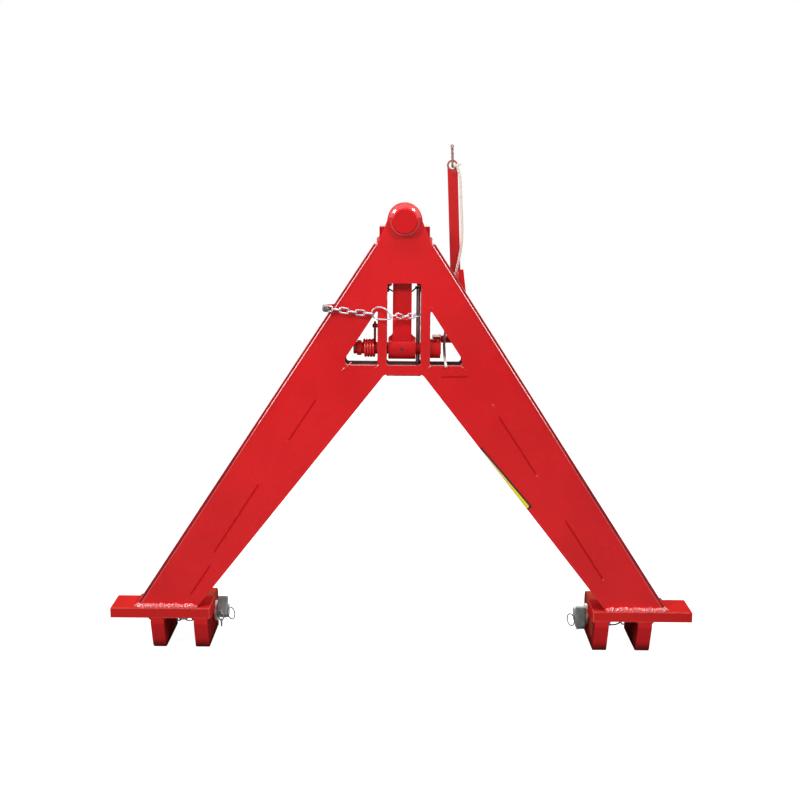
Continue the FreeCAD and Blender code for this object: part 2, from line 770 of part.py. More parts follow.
def top_lug(label, side):
    """Top link lug behind the rear plate, round about its bore."""
    body = doc.addObject("PartDesign::Body", label)
    corners = [
        ("box_depth", "lug_foot"),
        ("lug_bore_depth", "lug_bore_height - lug_round"),
        ("lug_bore_depth", "lug_bore_height + lug_round"),
        ("box_depth", "lug_bore_height + lug_round"),
    ]
    thick = "lug_outer - lug_inner"
    pad(body, sketch_polygon(body, f"{label}_outline", "YZ_Plane", corners), thick, False)
    end = sketch_circle(body, f"{label}_end", "YZ_Plane", "lug_bore_depth",
                        "lug_bore_height", "lug_round")
    pad(body, end, thick, False)
    bore = sketch_circle(body, f"{label}_bore", "YZ_Plane", "lug_bore_depth",
                         "lug_bore_height", "lug_bore / 2")
    pocket(body, bore, thick, False)
    node(body, label, x="lug_inner" if side > 0 else "-lug_outer")


# Feet


def base_bar(label, side):
    """Flat bar under a leg, reaching past it on the outside."""
    left = "bar_inner" if side > 0 else "-bar_outer"
    spot = (left, "-bar_proud", "-bar_thick")
    bar = box(f"{label}_bar", *spot, "bar_outer - bar_inner", "bar_depth", "bar_thick")
    node(bar, label, *spot)


def ear(label, left):
    """Clevis ear: under the bar in front, up to the bar's top behind it."""
    body = doc.addObject("PartDesign::Body", label)
    corners = [
        ("-bar_proud", "-bar_thick"),
        ("-bar_proud", "-bar_thick - ear_lip"),
        ("ear_toe", "-ear_drop"),
        (REAR, "-ear_drop"),
        (REAR, "-ear_top"),
        ("bar_depth - bar_proud", "-ear_top"),
        ("bar_depth - bar_proud", "-bar_thick"),
    ]
    outline = sketch_polygon(body, f"{label}_outline", "YZ_Plane", corners)
    pad(body, outline, "ear", False)
    bore = sketch_circle(body, f"{label}_bore", "YZ_Plane", "link_pin_depth",
                         "-link_pin_drop", "link_pin / 2 + fit")
    pocket(body, bore, "ear", False)
    round_edges(body, "ear_rear_round", "x", side_spots([corners[4]]))
    round_edges(body, "ear_toe / 2", "x", side_spots([corners[1], corners[2]]))
    node(body, label, x=left)


def mirrored(side, near, far):
    """Left end of a span from near to far, on the given side."""
    return near if side > 0 else f"-({far})"


def tilted(side, forward, up):
    """Place of a point of a linchpin, measured from the link pin's axis: so far
    forward along the shank and so far up beside it, turned with the shank."""
    tilt = math.radians(size("linch_tilt_right" if side > 0 else "linch_tilt_left"))
    cosine, sine = f"{math.cos(tilt):.6f}", f"{math.sin(tilt):.6f}"
    return (f"link_pin_depth - ({forward}) * {cosine} + ({up}) * {sine}",
            f"-link_pin_drop + ({forward}) * {sine} + ({up}) * {cosine}")


def tilt_back(side):
    """Turn from a linchpin drawn level to its resting place."""
    return Rotation(Vector(-1, 0, 0), size("linch_tilt_right" if side > 0 else "linch_tilt_left"))


def link_pin(label, side):
    """Lower link pin with a head outside and a cross hole at its inner end."""
    far = f"({EAR_OUTER} + slack)"
    shank = rod(f"{label}_shank", "x", mirrored(side, PIN_END, far), "link_pin_depth",
                "-link_pin_drop", "link_pin / 2", f"{far} - {PIN_END}")
    head = rod(f"{label}_head", "x", mirrored(side, far, f"{far} + link_pin_head_thick"),
               "link_pin_depth", "-link_pin_drop", "link_pin_head / 2",
               "link_pin_head_thick")
    hole = rod(f"{label}_hole", "y", f"{side} * {LINCH_X}", *tilted(side, "link_pin", "0"),
               "linch_shank / 2 + fit", "2 * link_pin")
    hole.Placement = FreeCAD.Placement(Vector(), tilt_back(side) * AXES["y"])
    node(cut(f"{label}_cut", fuse(f"{label}_bar", [shank, head]), hole), label)


def pin_washer(label, side):
    """Washer on the link pin against the inner face of the inner ear."""
    far = f"({EAR_INNER} - slack)"
    near = f"({far} - washer)"
    node(ring(f"{label}_ring", "x", mirrored(side, near, far), "link_pin_depth",
              "-link_pin_drop", "link_pin / 2 + fit", "washer_round", "washer"), label)


def linchpin(label, side):
    """Linchpin: cast head beside the pin, shank through the pin's cross hole."""
    back = "(link_pin / 2 + slack)"
    head = box(f"{label}_head", f"{side} * {LINCH_X} - linch_head_wide / 2",
               f"-{back} - linch_head_deep", "-linch_head_tall / 2",
               "linch_head_wide", "linch_head_deep", "linch_head_tall")
    doc.recompute()
    block = doc.addObject("Part::Fillet", f"{label}_block")
    block.Base = head
    edge = size("linch_head_round")
    block.Edges = [(i, edge, edge) for i in range(1, 13)]
    shank = rod(f"{label}_shank", "y", f"{side} * {LINCH_X}", f"-{back} - linch_head_deep / 2",
                "0", "linch_shank / 2",
                f"linch_head_deep / 2 + {back} + link_pin / 2 + linch_reach")
    whole = fuse(f"{label}_whole", [block, shank])
    whole.Placement = FreeCAD.Placement(Vector(), tilt_back(side))
    node(whole, label, "0", "link_pin_depth", "-link_pin_drop")


def linch_ring(label, side):
    """Spring ring of a linchpin, folded rearwards past the end of the pin."""
    turn = math.radians(size("linch_ring_turn"))
    away = Vector(-side * math.sin(turn), math.cos(turn), 0)
    hoop = doc.addObject("Part::Torus", f"{label}_hoop")
    bind(hoop, "Radius1", "linch_ring_round")
    bind(hoop, "Radius2", "linch_ring_wire / 2")
    square = away.cross(Vector(0, 0, 1))
    hoop.Placement = FreeCAD.Placement(
        Vector(), tilt_back(side) * Rotation(Vector(0, 0, 1), square))
    hinge = f"({LINCH_X} - linch_head_wide / 2 - slack - linch_ring_wire / 2)"
    middle = "link_pin / 2 + slack + linch_head_deep / 2"
    y, z = tilted(side, f"{middle} - linch_ring_round * {away.y:.6f}", "-linch_ring_drop")
    node(hoop, label, f"{side} * {hinge} + linch_ring_round * ({away.x:.6f})", y, z)


# Latch, shaft, spring and lever


def latch():
    """Latch: wide hub on the shaft and a narrower tongue above it."""
    left = "(-latch_shift - latch_half)"
    hub = rod("latch_hub", "x", left, "shaft_depth", "shaft_height", "latch_round",
              "2 * latch_half")
    tongue = doc.addObject("PartDesign::Body", "latch_tongue")
    corners = [
        ("shaft_depth", "shaft_height"),
        ("tongue_low_face", "shaft_height + latch_round / 2"),
        ("tongue_low_face", "tongue_step"),
        ("tongue_face", "tongue_step + tongue_face - tongue_low_face"),
        ("tongue_face + tongue_nose", "tongue_top"),
        ("tongue_back - tongue_heel", "tongue_top"),
        ("tongue_back", "tongue_top - tongue_slant"),
        ("tongue_back", "shaft_height + latch_round / 2"),
    ]
    outline = sketch_polygon(tongue, "tongue_outline", "YZ_Plane", corners)
    pad(tongue, outline, "2 * tongue_half", False)
    bind(tongue, "Placement.Base.x", "-latch_shift - tongue_half")
    bore = rod("latch_bore", "x", left, "shaft_depth", "shaft_height", BORE,
               "2 * latch_half")
    recess = rod("latch_recess", "y", "-latch_shift", "shaft_depth - latch_round",
                 "shaft_height", "nipple_hole / 2", "latch_round - shaft / 2")
    solid = fuse("latch_whole", [hub, tongue])
    node(cut("latch_cut", solid, fuse("latch_holes", [bore, recess])), "latch")


def grease_nipple():
    """Grease nipple sunk in the front of the latch hub."""
    spot = ("-latch_shift", "shaft_depth - latch_round + nipple_sunk", "shaft_height")
    stem = rod("nipple_stem", "y", *spot, "nipple_hole / 2 - slack",
               "latch_round - nipple_sunk - shaft / 2 - slack")
    node(stem, "grease_nipple", *spot)


def latch_shaft():
    """Cross shaft with a cross hole in its left end."""
    bar = rod("shaft_bar", "x", "-shaft_left", "shaft_depth", "shaft_height", "shaft / 2",
              "shaft_left + lever_hub_right + shaft_proud")
    hole = rod("shaft_hole", "y", "-(shaft_left + collar_left) / 2",
               "shaft_depth - shaft", "shaft_height", "cross_hole / 2", "2 * shaft")
    node(cut("shaft_cut", bar, hole), "latch_shaft")


def shaft_bushes():
    """Flanged bushes of the shaft in the two bearing plates."""
    rings = []
    for side in (-1, 1):
        rings.append(ring(f"bush{side + 2}", "x",
                          mirrored(side, "strut_inner", "strut_outer"), "shaft_depth",
                          "shaft_height", BORE, f"{BORE} + bush_wall",
                          "strut_outer - strut_inner"))
        rings.append(ring(f"flange{side + 2}", "x",
                          mirrored(side, "strut_outer", "strut_outer + bush_flange"),
                          "shaft_depth", "shaft_height", BORE, f"{BORE} + bush_rim",
                          "bush_flange"))
    node(fuse("bushes", rings), "shaft_bushes")


def torsion_spring():
    """Coil on the left end of the shaft, one end standing up as a leg."""
    helix = doc.addObject("Part::Helix", "spring_helix")
    bind(helix, "Radius", "spring_round")
    bind(helix, "Pitch", "spring_pitch")
    bind(helix, "Height", "spring_pitch * spring_turns")
    wire = doc.addObject("Part::Circle", "spring_section")
    bind(wire, "Radius", "spring_wire / 2")
    doc.recompute()
    start = helix.Shape.Edges[0]
    along = start.tangentAt(start.FirstParameter)
    wire.Placement = FreeCAD.Placement(start.valueAt(start.FirstParameter),
                                       Rotation(Vector(0, 0, 1), along))
    coil = doc.addObject("Part::Sweep", "spring_coil")
    coil.Sections = [wire]
    coil.Spine = (helix, [f"Edge{i + 1}" for i in range(len(helix.Shape.Edges))])
    coil.Solid = True
    coil.Frenet = True
    turn = Rotation(Vector(0, 1, 0), Vector(0, 0, -1), Vector(-1, 0, 0), "XYZ")
    coil.Placement = FreeCAD.Placement(Vector(), turn)
    bind(coil, "Placement.Base.x", "-spring_right")
    bind(coil, "Placement.Base.y", "shaft_depth")
    bind(coil, "Placement.Base.z", "shaft_height")
    leg = rod("spring_leg", "z", "-spring_right", "shaft_depth + spring_round",
              "shaft_height", "spring_wire / 2", "spring_leg_top - shaft_height")
    upward = turn.multVec(along) * -1
    leg.Placement = FreeCAD.Placement(Vector(), Rotation(Vector(0, 0, 1), upward))
    whole = doc.addObject("Part::Compound", "spring_whole")
    whole.Links = [coil, leg]
    node(whole, "torsion_spring")


def spring_stop():
    """Short pin on the left bearing plate that the spring leg pushes on."""
    length = "(spring_right + spring_wire - strut_outer)"
    spot = (f"-strut_outer - {length}",
            "shaft_depth + spring_round + spring_wire / 2 + slack + stop_pin / 2",
            "stop_height")
    node(rod("stop_bar", "x", *spot, "stop_pin / 2", length), "spring_stop", *spot)


def shaft_collar():
    """Collar that holds the spring on the shaft."""
    node(ring("collar", "x", "-collar_left", "shaft_depth", "shaft_height", BORE,
              "collar_round", "collar_left - collar_right"), "shaft_collar")


def screw_rod(name, start, radius, length):
    """Rod square to the shaft, tilted up from the front, and its start."""
    tilt = math.radians(size("set_screw_tilt"))
    spot = ("(lever_hub_left + lever_hub_right) / 2",
            f"shaft_depth - ({start}) * {math.cos(tilt):.6f}",
            f"shaft_height + ({start}) * {math.sin(tilt):.6f}")
    thing = rod(name, "z", *spot, radius, length)
    away = Vector(0, -math.cos(tilt), math.sin(tilt))
    thing.Placement = FreeCAD.Placement(Vector(), Rotation(Vector(0, 0, 1), away))
    return thing, spot


def lever_hub():
    """Hub of the release lever, clamped on the shaft by a set screw."""
    hub = ring("hub_ring", "x", "lever_hub_left", "shaft_depth", "shaft_height", BORE,
               "lever_hub_round", "lever_hub_right - lever_hub_left")
    hole, start = screw_rod("hub_hole", "shaft / 2", "set_screw / 2 + fit", "lever_hub_round")
    node(cut("hub_cut", hub, hole), "lever_hub")
    screw, start = screw_rod("screw_bar", BORE, "set_screw / 2",
                             "lever_hub_round - shaft / 2 - set_screw_sunk")
    node(screw, "set_screw", *start)


def lever_arm():
    """Arm from the hub through the rear window, with a cross stub behind."""
    arm = doc.addObject("PartDesign::Body", "arm_plate")
    corners = [
        ("shaft_depth + lever_hub_round", "shaft_height - arm_half"),
        ("arm_rear", "arm_rear_height - arm_half"),
        ("arm_rear", "arm_rear_height + arm_half"),
        ("shaft_depth + lever_hub_round / 2", "shaft_height + lever_hub_round"),
        ("shaft_depth", "shaft_height + lever_hub_round + arm_crest"),
        ("shaft_depth - arm_nose", "shaft_height + lever_hub_round + arm_crest - arm_fall"),
        ("shaft_depth", "shaft_height"),
    ]
    outline = sketch_polygon(arm, "arm_outline", "YZ_Plane", corners)
    pad(arm, outline, "arm_right - arm_left", False)
    bind(arm, "Placement.Base.x", "arm_left")
    round_end = rod("arm_end", "x", "arm_left", "arm_rear", "arm_rear_height", "arm_half",
                    "arm_right - arm_left")
    stub = rod("arm_stub", "x", "arm_left", "arm_rear", "arm_rear_height", "stub / 2",
               "stub_right - arm_left")
    seat = rod("arm_seat", "x", "arm_left", "shaft_depth", "shaft_height",
               "lever_hub_round", "arm_right - arm_left")
    node(cut("arm_cut", fuse("arm_whole", [arm, round_end, stub]), seat), "lever_arm")


def lever_at(height):
    """Sideways place of the lever bar's centre line at a height."""
    share = f"(({height}) - arm_rear_height) / (lever_top - arm_rear_height)"
    return f"(lever_foot_x + (lever_top_x - lever_foot_x) * {share})"


def release_lever():
    """Tall flat bar, leaning a little, with a round eye at its top."""
    body = doc.addObject("PartDesign::Body", "lever_bar")
    foot = "arm_rear_height - stub / 2"
    corners = [
        (f"{lever_at(foot)} - lever_wide / 2", foot),
        (f"{lever_at(foot)} + lever_wide / 2", foot),
        ("lever_top_x + lever_wide / 2", "lever_top"),
        ("lever_top_x - lever_wide / 2", "lever_top"),
    ]
    pad(body, sketch_polygon(body, "lever_outline", "XZ_Plane", corners), "lever_thick", True)
    eye = sketch_circle(body, "lever_eye", "XZ_Plane", "lever_top_x", "lever_top", "eye_round")
    pad(body, eye, "lever_thick", True)
    hole = sketch_circle(body, "lever_hole", "XZ_Plane", "lever_top_x", "lever_top",
                         "eye_hole / 2")
    pocket(body, hole, "lever_thick", True)
    node(body, "release_lever", y="arm_rear - stub / 2 - lever_thick")


def guard_plate():
    """Plate on the back of the right leg beside the lever."""
    right = "guard_left + guard_wide"
    xz_plate("guard_plate", [
        ("guard_left", "guard_foot"),
        (right, "guard_foot + guard_tall / 5"),
        (f"{right} - guard_wide / 5", "guard_foot + guard_tall / 2"),
        ("guard_left + guard_lean + guard_narrow", "guard_foot + guard_tall"),
        ("guard_left + guard_lean", "guard_foot + guard_tall"),
    ], "guard_thick", "box_depth")


# Stem above the loop, and the small ring knotted at its tip
STEM_START = 20
STEM_LONG = 8
TIP_ROUND = 2.2
TIP_WIRE = 0.9
TIP_SPOT = Vector(-1, 0, 10.5)


def eye_loop():
    """Short twisted cord through the lever's eye: loop, stem and knotted tip."""
    middle = "(arm_rear - stub / 2 - lever_thick / 2)"
    centre = point("lever_top_x", middle, "lever_top")
    thick = size("loop_cord")
    inside = calculate("eye_hole / 2 - loop_cord / 2 - slack")
    beside = calculate("lever_thick / 2 + loop_cord / 2 + 2 * slack")
    outline = [(-beside, inside - 0.8), (-beside - 0.6, inside + 9), (-1.5, inside + 19),
               (1.5, inside + 19), (beside + 0.6, inside + 9), (beside, inside - 0.8)]
    loop, radii = tube([centre + Vector(0, y, z) for y, z in outline], thick, closed=True)
    high = centre + Vector(0, 0, inside + STEM_START)
    core = Part.makeCylinder(thick / 2, STEM_LONG, high, Vector(-0.12, 0, 1))
    tip = Part.makeTorus(TIP_ROUND, TIP_WIRE, high + TIP_SPOT, Vector(0, 1, 0))
    print("loop radii", [round(r, 1) for r in radii])
    solid_node("eye_loop", loop.fuse([core, tip]).removeSplitter())


# Safety pin, tether, chains and cords


def safety_pin():
    """Round pin that stands in the sill beside the latch."""
    foot = "(crotch_height + wall + slack)"
    bar = rod("pin_bar", "z", "pin_x", PIN_DEPTH, foot, "pin / 2", f"pin_top - {foot}")
    doc.recompute()
    pin = doc.addObject("Part::Chamfer", "pin_bevel")
    pin.Base = bar
    bevel = size("pin_chamfer")
    pin.Edges = [(i, bevel, bevel) for i, edge in enumerate(bar.Shape.Edges, start=1)
                 if isinstance(edge.Curve, Part.Circle)]
    node(pin, "safety_pin")


def tether_spot(x, back, up):
    """Point of the tether: back and up are measured from its own level."""
    return point(x, f"tongue_back + tether_back + {back}", f"pin_top - tether_drop + {up}")


def pin_tether():
    """Black cord from the left bearing plate to a loop round the safety pin."""
    pin_spot = point("pin_x", PIN_DEPTH, "pin_top - tether_drop + 6")
    loop_round = calculate("pin / 2 + slack + tether / 2")
    loop = Part.makeTorus(loop_round, size("tether") / 2, pin_spot)
    side = calculate("tongue_half - latch_shift + slack")
    right, radii = tube([
        tether_spot(side + 0.7, 0, 0),
        tether_spot(side + 4, 0.3, 2),
        pin_spot + Vector(-loop_round, 0, 0)], size("tether"))
    left_side = calculate("-tongue_half - latch_shift - slack")
    left, more = tube([
        tether_spot(calculate("2 * slack - strut_inner"), 0, 7),
        tether_spot(left_side - 6, 0, 3),
        tether_spot(left_side - 0.7, 0, 0)], size("tether"))
    solid_node("pin_tether", Part.makeCompound([left, loop.fuse(right).removeSplitter()]))
    band, others = tube([
        tether_spot(left_side, 0, 0),
        tether_spot(left_side + 12, -2, -2),
        tether_spot(side - 12, -2, -2),
        tether_spot(side, 0, 0)], size("tether"))
    solid_node("tether_band", band)
    print("tether radii", [round(r, 1) for r in radii + more + others])


def chain_lug():
    """Small lug on the left outer wall and the bolt that holds the chain."""
    edge = calculate(f"{outer('bolt_height')}")
    slope = Vector(-size("leg_lean"), 0, -1).normalize()
    bolt_spot = point("-bolt_x", "wall_setback", "bolt_height")
    foot = point(-edge, "wall_setback", "bolt_height")
    half = slope * size("lug_half")
    drop = Vector(0, 0, -size("lug_tip"))
    tip = bolt_spot + Vector(-size("lug_tip"), 0, 0)
    corners = [foot + half, tip + drop, tip - drop, foot - half]
    face = Part.Face(Part.makePolygon(corners + [corners[0]]))
    lug = face.extrude(Vector(0, size("wall"), 0))
    hole = Part.makeCylinder(size("bolt") / 2 + size("fit"), size("wall"), bolt_spot,
                             Vector(0, 1, 0))
    solid_node("chain_lug", lug.cut(hole))


def chain_bolt():
    """Bolt with head, washer stack and nut; the chain's first link lies between."""
    back = "(wall_setback + wall)"
    front = "(-chain_front - link_wire / 2 - slack)"
    stack = "(-chain_front + link_wire / 2 + slack)"
    shank = rod("bolt_shank", "y", "-bolt_x", front, "bolt_height", "bolt / 2",
                f"{back} - {front} + bolt_end")
    head = rod("bolt_cap", "y", "-bolt_x", f"{front} - bolt_head_thick", "bolt_height",
               "bolt_head / 2", "bolt_head_thick")
    washers = rod("bolt_washers", "y", "-bolt_x", stack, "bolt_height", "bolt_head / 2",
                  f"wall_setback - {stack}")
    nut = doc.addObject("Part::Prism", "bolt_nut")
    nut.Polygon = 6
    bind(nut, "Circumradius", "bolt_head / 2")
    bind(nut, "Height", "bolt_nut_thick")
    nut.Placement = FreeCAD.Placement(Vector(), AXES["y"])
    bind(nut, "Placement.Base.x", "-bolt_x")
    bind(nut, "Placement.Base.y", back)
    bind(nut, "Placement.Base.z", "bolt_height")
    node(fuse("bolt_whole", [shank, head, washers, nut]), "chain_bolt")


LONG_STEPS = [(1, 0, -0.04), (1, 0, -0.10), (1, 0, -0.16), (1, 0.01, -0.13),
              (1, 0, -0.08), (1, 0, -0.05)]
SHORT_STEPS = [(1, 0.10, 0.24), (1, 0.16, -0.34), (1, 0.18, 0.20), (1, 0.14, -0.05)]

# Corners of the bent hoop, sideways and up from its left corner
HOOP = [(0, 0), (7, 10.5), (19.5, 12.5), (30, 8), (40.3, -7), (34.8, -11.5), (9, -11)]


def chains():
    """Chain from the bolt to the hoop, the hoop, and the chain to the pin's eye."""
    start = point("-bolt_x - bolt / 2 - link_gap / 2", "-chain_front", "bolt_height")
    links, end = chain(start, LONG_STEPS, "link", size("link_pitch"), (FACING, LEVEL))
    solid_node("safety_chain", links)
    wire = size("hoop_wire")
    corner = end + Vector(-wire / 2 - size("hoop_seat"), 0, 0)
    hoop, radii = tube([corner + Vector(x, 0, z) for x, z in HOOP], wire, closed=True)
    solid_node("wire_hoop", hoop)
    short_start = corner + Vector(size("hoop_reach") - wire / 2, 0, -size("hoop_low"))
    links, finish = chain(short_start, SHORT_STEPS, "short", size("short_pitch"),
                          (LEVEL, FACING))
    solid_node("short_chain", links)
    print("hoop radii", [round(r, 1) for r in radii], "short chain ends", finish)
    return finish


def pin_eye(finish):
    """Long wire eye that lies loosely round the safety pin."""
    wire = size("eye_wire")
    pin_spot = point("pin_x", PIN_DEPTH, "0") + Vector(0, 0, finish.z)
    front = finish + Vector(3, -1, 0)
    along = (pin_spot - front).normalize()
    across = Vector(-along.y, along.x, 0)
    bend = calculate("pin / 2 + slack + eye_play + eye_wire / 2")
    bars = []
    for way, spot in ((-1, front), (1, pin_spot)):
        bow = Part.makeTorus(bend, wire / 2, Vector(), Vector(0, 0, 1), -180, 180, 180)
        turn = math.degrees(math.atan2(along.y, along.x))
        bow.rotate(Vector(), Vector(0, 0, 1), turn - 90 * way)
        bow.translate(spot)
        bars.append(bow)
        bars.append(Part.makeCylinder(wire / 2, (pin_spot - front).Length,
                                      front + across * (way * bend), along))
    solid_node("pin_eye", bars[0].fuse(bars[1:]).removeSplitter())


# Route of the rope: down the lever's front face, then through the right window
BESIDE_LEVER = [(98, 0, 858), (105, 0, 838), (106.5, 0, 805), (108.5, 0, 768), (110.5, 0, 735),
                (109.5, 0, 704), (104.5, -1, 676), (98.5, -1, 650), (95, 0, 620), (92, 0, 590),
                (87, 0, 562), (81, -4, 541), (78, -14, 525), (78, -32, 506), (78.5, -54, 495)]
OVER_SILL = [(79, 18, 489.5), (79.5, 0, 487.5), (80, -5, 481.5)]


def pull_rope():
    """Rope from the lever's eye down beside the lever to the cross stub."""
    behind = calculate("arm_rear - stub / 2")
    front = behind - size("lever_thick") - size("rope") / 2 - size("slack")
    path = [point(x, front + back, z) for x, back, z in BESIDE_LEVER]
    path += [point(x, y, z) for x, y, z in OVER_SILL]
    shape, radii = tube(path, size("rope"))
    solid_node("pull_rope", shape)
    print("rope radii", [round(r) for r in radii])


def staple(x, y, z, way):
    """Small eye that stands on an ear face, for a chain or a wire."""
    reach, turn, wire = size("staple_reach"), size("staple_round"), size("staple_wire")
    post = Part.makeCylinder(wire / 2, reach - turn, Vector(x, y, z), Vector(way, 0, 0))
    loop = Part.makeTorus(turn, wire / 2, Vector(x + way * reach, y, z), Vector(0, 1, 0))
    return post.fuse(loop).removeSplitter()


# Wire across the right clevis: sideways from the ear's face, and its sag
WIRE_SAG = [(13.4, 0.4), (18, 3), (24, 5), (32, 5.5), (38.5, 3.5), (43.6, 0.4)]


def clevis_tethers():
    """Chain across the left clevis and wire across the right one."""
    depth = size("ear_chain_depth")
    low = -size("ear_chain_drop")
    near = calculate(f"{CLEVIS} - clevis_gap / 2")
    far = calculate(f"{CLEVIS} + clevis_gap / 2")
    eyes = [staple(-far, depth, low, 1), staple(-near, depth, low, -1),
            staple(far, depth, low, -1), staple(near, depth, low, 1)]
    solid_node("ear_eyes", Part.makeCompound(eyes))
    hook = calculate("staple_reach + staple_round - staple_wire / 2 - short_gap / 2")
    left = Vector(-far + hook, depth, low)
    right = Vector(-near - hook, depth, low)
    across = (right - left).Length
    count = 3
    steps = [(1, 0, 0)] * count
    links, end = chain(left, steps, "short", across / count, (LEVEL, FACING))
    solid_node("left_ear_chain", links)
    shape, radii = tube([Vector(near + x, depth, low - z) for x, z in WIRE_SAG],
                        size("lanyard"))
    solid_node("right_wire", shape)
    print("wire radii", [round(r) for r in radii])


# Loose end of the wire behind its crimp: sideways, rearwards and up
WIRE_TAIL = [(-1, 0, 0), (7, 0, -0.2), (11, 1, 1), (14.5, 3.5, 3.2)]


def linch_tethers():
    """Links on the left linchpin head, wire with a crimp at the right one."""
    x = calculate(LINCH_X)
    eye_wire = size("eye_wire")
    reach = "link_pin / 2 + slack + linch_head_deep"
    turn = size("staple_round")
    y, z = tilted(-1, f"{reach} + slack + eye_wire / 2 + staple_round", "-linch_head_tall / 2.4")
    ring_spot = point(-x, y, z)
    eye = Part.makeTorus(turn, eye_wire / 2, ring_spot, Vector(1, 0, 0))
    low = ring_spot + Vector(0, 0, -turn)
    hook = calculate("short_wire / 2 + short_gap / 2 - eye_wire / 2")
    links, end = chain(low + Vector(0, 0, hook), [(0, 0, -1), (0.06, 0, -1)], "short",
                       size("short_pitch"), (FACING, EDGEWAYS))
    solid_node("left_linch_chain", Part.makeCompound([eye] + links.Solids))
    foot = calculate("-link_pin_drop - linch_head_tall / 2")
    middle = calculate("link_pin_depth - link_pin / 2 - slack - linch_head_deep / 2")
    level = foot + calculate("-crimp_round - 2 * slack")
    crimp = Part.makeCylinder(size("crimp_round"), size("crimp_long"),
                              Vector(x - size("crimp_long"), middle, level), Vector(1, 0, 0))
    start = Vector(x, middle, level)
    tail, radii = tube([start + Vector(*step) for step in WIRE_TAIL], size("lanyard"))
    solid_node("right_linch_wire", crimp.fuse(tail).removeSplitter())
    print("wire end radii", [round(r) for r in radii])


def build():
    a_plate("front_plate", "0", "window_top")
    a_plate("rear_plate", "box_depth - plate", "rear_window_top")
    for name, side in (("left", -1), ("right", 1)):
        outer_wall(f"{name}_outer_wall", side)
        inner_wall(f"{name}_inner_wall", side)
        leg_web(f"{name}_leg_web", side)
        strut_plate(f"{name}_strut_plate", side)
        top_lug(f"{name}_top_lug", side)
        base_bar(f"{name}_base_bar", side)
        near = EAR_INNER
        far = f"({CLEVIS} + clevis_gap / 2)"
        ear(f"{name}_inner_ear", mirrored(side, near, f"{near} + ear"))
        ear(f"{name}_outer_ear", mirrored(side, far, f"{far} + ear"))
        link_pin(f"{name}_link_pin", side)
        pin_washer(f"{name}_pin_washer", side)
        linchpin(f"{name}_linchpin", side)
        linch_ring(f"{name}_linchpin_ring", side)
    crotch_plate()
    sill_plate()
    apex_boss()
    latch()
    grease_nipple()
    latch_shaft()
    shaft_bushes()
    torsion_spring()
    spring_stop()
    shaft_collar()
    lever_hub()
    lever_arm()
    release_lever()
    guard_plate()
    eye_loop()
    safety_pin()
    pin_tether()
    chain_lug()
    chain_bolt()
    pin_eye(chains())
    pull_rope()
    clevis_tethers()
    linch_tethers()


def check():
    """Stop if any object failed or any piece is not a valid solid."""
    for thing in doc.Objects:
        if "Invalid" in thing.State or "Error" in thing.State:
            raise ValueError(f"{thing.Label} is {thing.State}")
    for label, thing in nodes.items():
        if thing.Shape.isNull() or not thing.Shape.isValid() or not thing.Shape.Solids:
            raise ValueError(f"{label} has no valid solid")


fill_sheet()
build()
doc.recompute()
check()
os.makedirs("parts", exist_ok=True)
for label, thing in nodes.items():
    thing.Shape.exportStep(f"parts/{label}.step")
print(len(nodes), "pieces")
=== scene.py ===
import math

import bmesh
import bpy
import numpy as np
from mathutils import Matrix, Vector


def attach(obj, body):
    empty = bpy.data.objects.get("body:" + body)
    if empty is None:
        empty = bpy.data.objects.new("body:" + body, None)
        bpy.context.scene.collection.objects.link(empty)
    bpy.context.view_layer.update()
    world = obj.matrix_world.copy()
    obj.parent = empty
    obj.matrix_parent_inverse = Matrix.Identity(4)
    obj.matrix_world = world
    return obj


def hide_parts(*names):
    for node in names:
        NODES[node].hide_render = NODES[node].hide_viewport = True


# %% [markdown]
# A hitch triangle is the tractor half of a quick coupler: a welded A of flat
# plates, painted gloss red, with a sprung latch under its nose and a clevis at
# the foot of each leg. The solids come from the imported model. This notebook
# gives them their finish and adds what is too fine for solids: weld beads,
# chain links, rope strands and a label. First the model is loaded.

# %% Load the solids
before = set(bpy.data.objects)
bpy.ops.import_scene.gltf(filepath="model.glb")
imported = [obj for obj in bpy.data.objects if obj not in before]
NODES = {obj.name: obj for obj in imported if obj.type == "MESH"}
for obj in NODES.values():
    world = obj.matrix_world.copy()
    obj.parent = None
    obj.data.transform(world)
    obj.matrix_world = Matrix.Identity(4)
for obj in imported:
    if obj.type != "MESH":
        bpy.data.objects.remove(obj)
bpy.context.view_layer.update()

# %% [markdown]
# The source of the solids measures x sideways, y rearwards from the front
# plate, and z up from the top of the foot bars, all in millimetres. Its numbers
# are used again here, so one helper turns them into metres in the scene.

# %% From drawing millimetres to metres
FRONT_PLATE_Y = -67.0
BAR_TOP_Z = 88.0


def spot(x, y, z):
    """Points in metres from drawing millimetres; any of the three may be an array."""
    x, y, z = np.broadcast_arrays(np.asarray(x, float), y, z)
    return np.stack([x, y + FRONT_PLATE_Y, z + BAR_TOP_Z], axis=-1) / 1000


# %% [markdown]
# The camera stands 2.5 m in front, just above the middle of the nose, and looks
# down by ten degrees. It is rolled by half a degree, as the photograph is. The
# lens is as long as the object's outline asks for.

# %% Camera
FOCUS_PIXELS = 1333.08
IMAGE_PIXELS = 800
SENSOR = 36.0
CAMERA_SPOT = (-0.00623, -2.567, 0.94463)
CAMERA_DOWN = math.radians(10)
CAMERA_ROLL = math.radians(0.5)

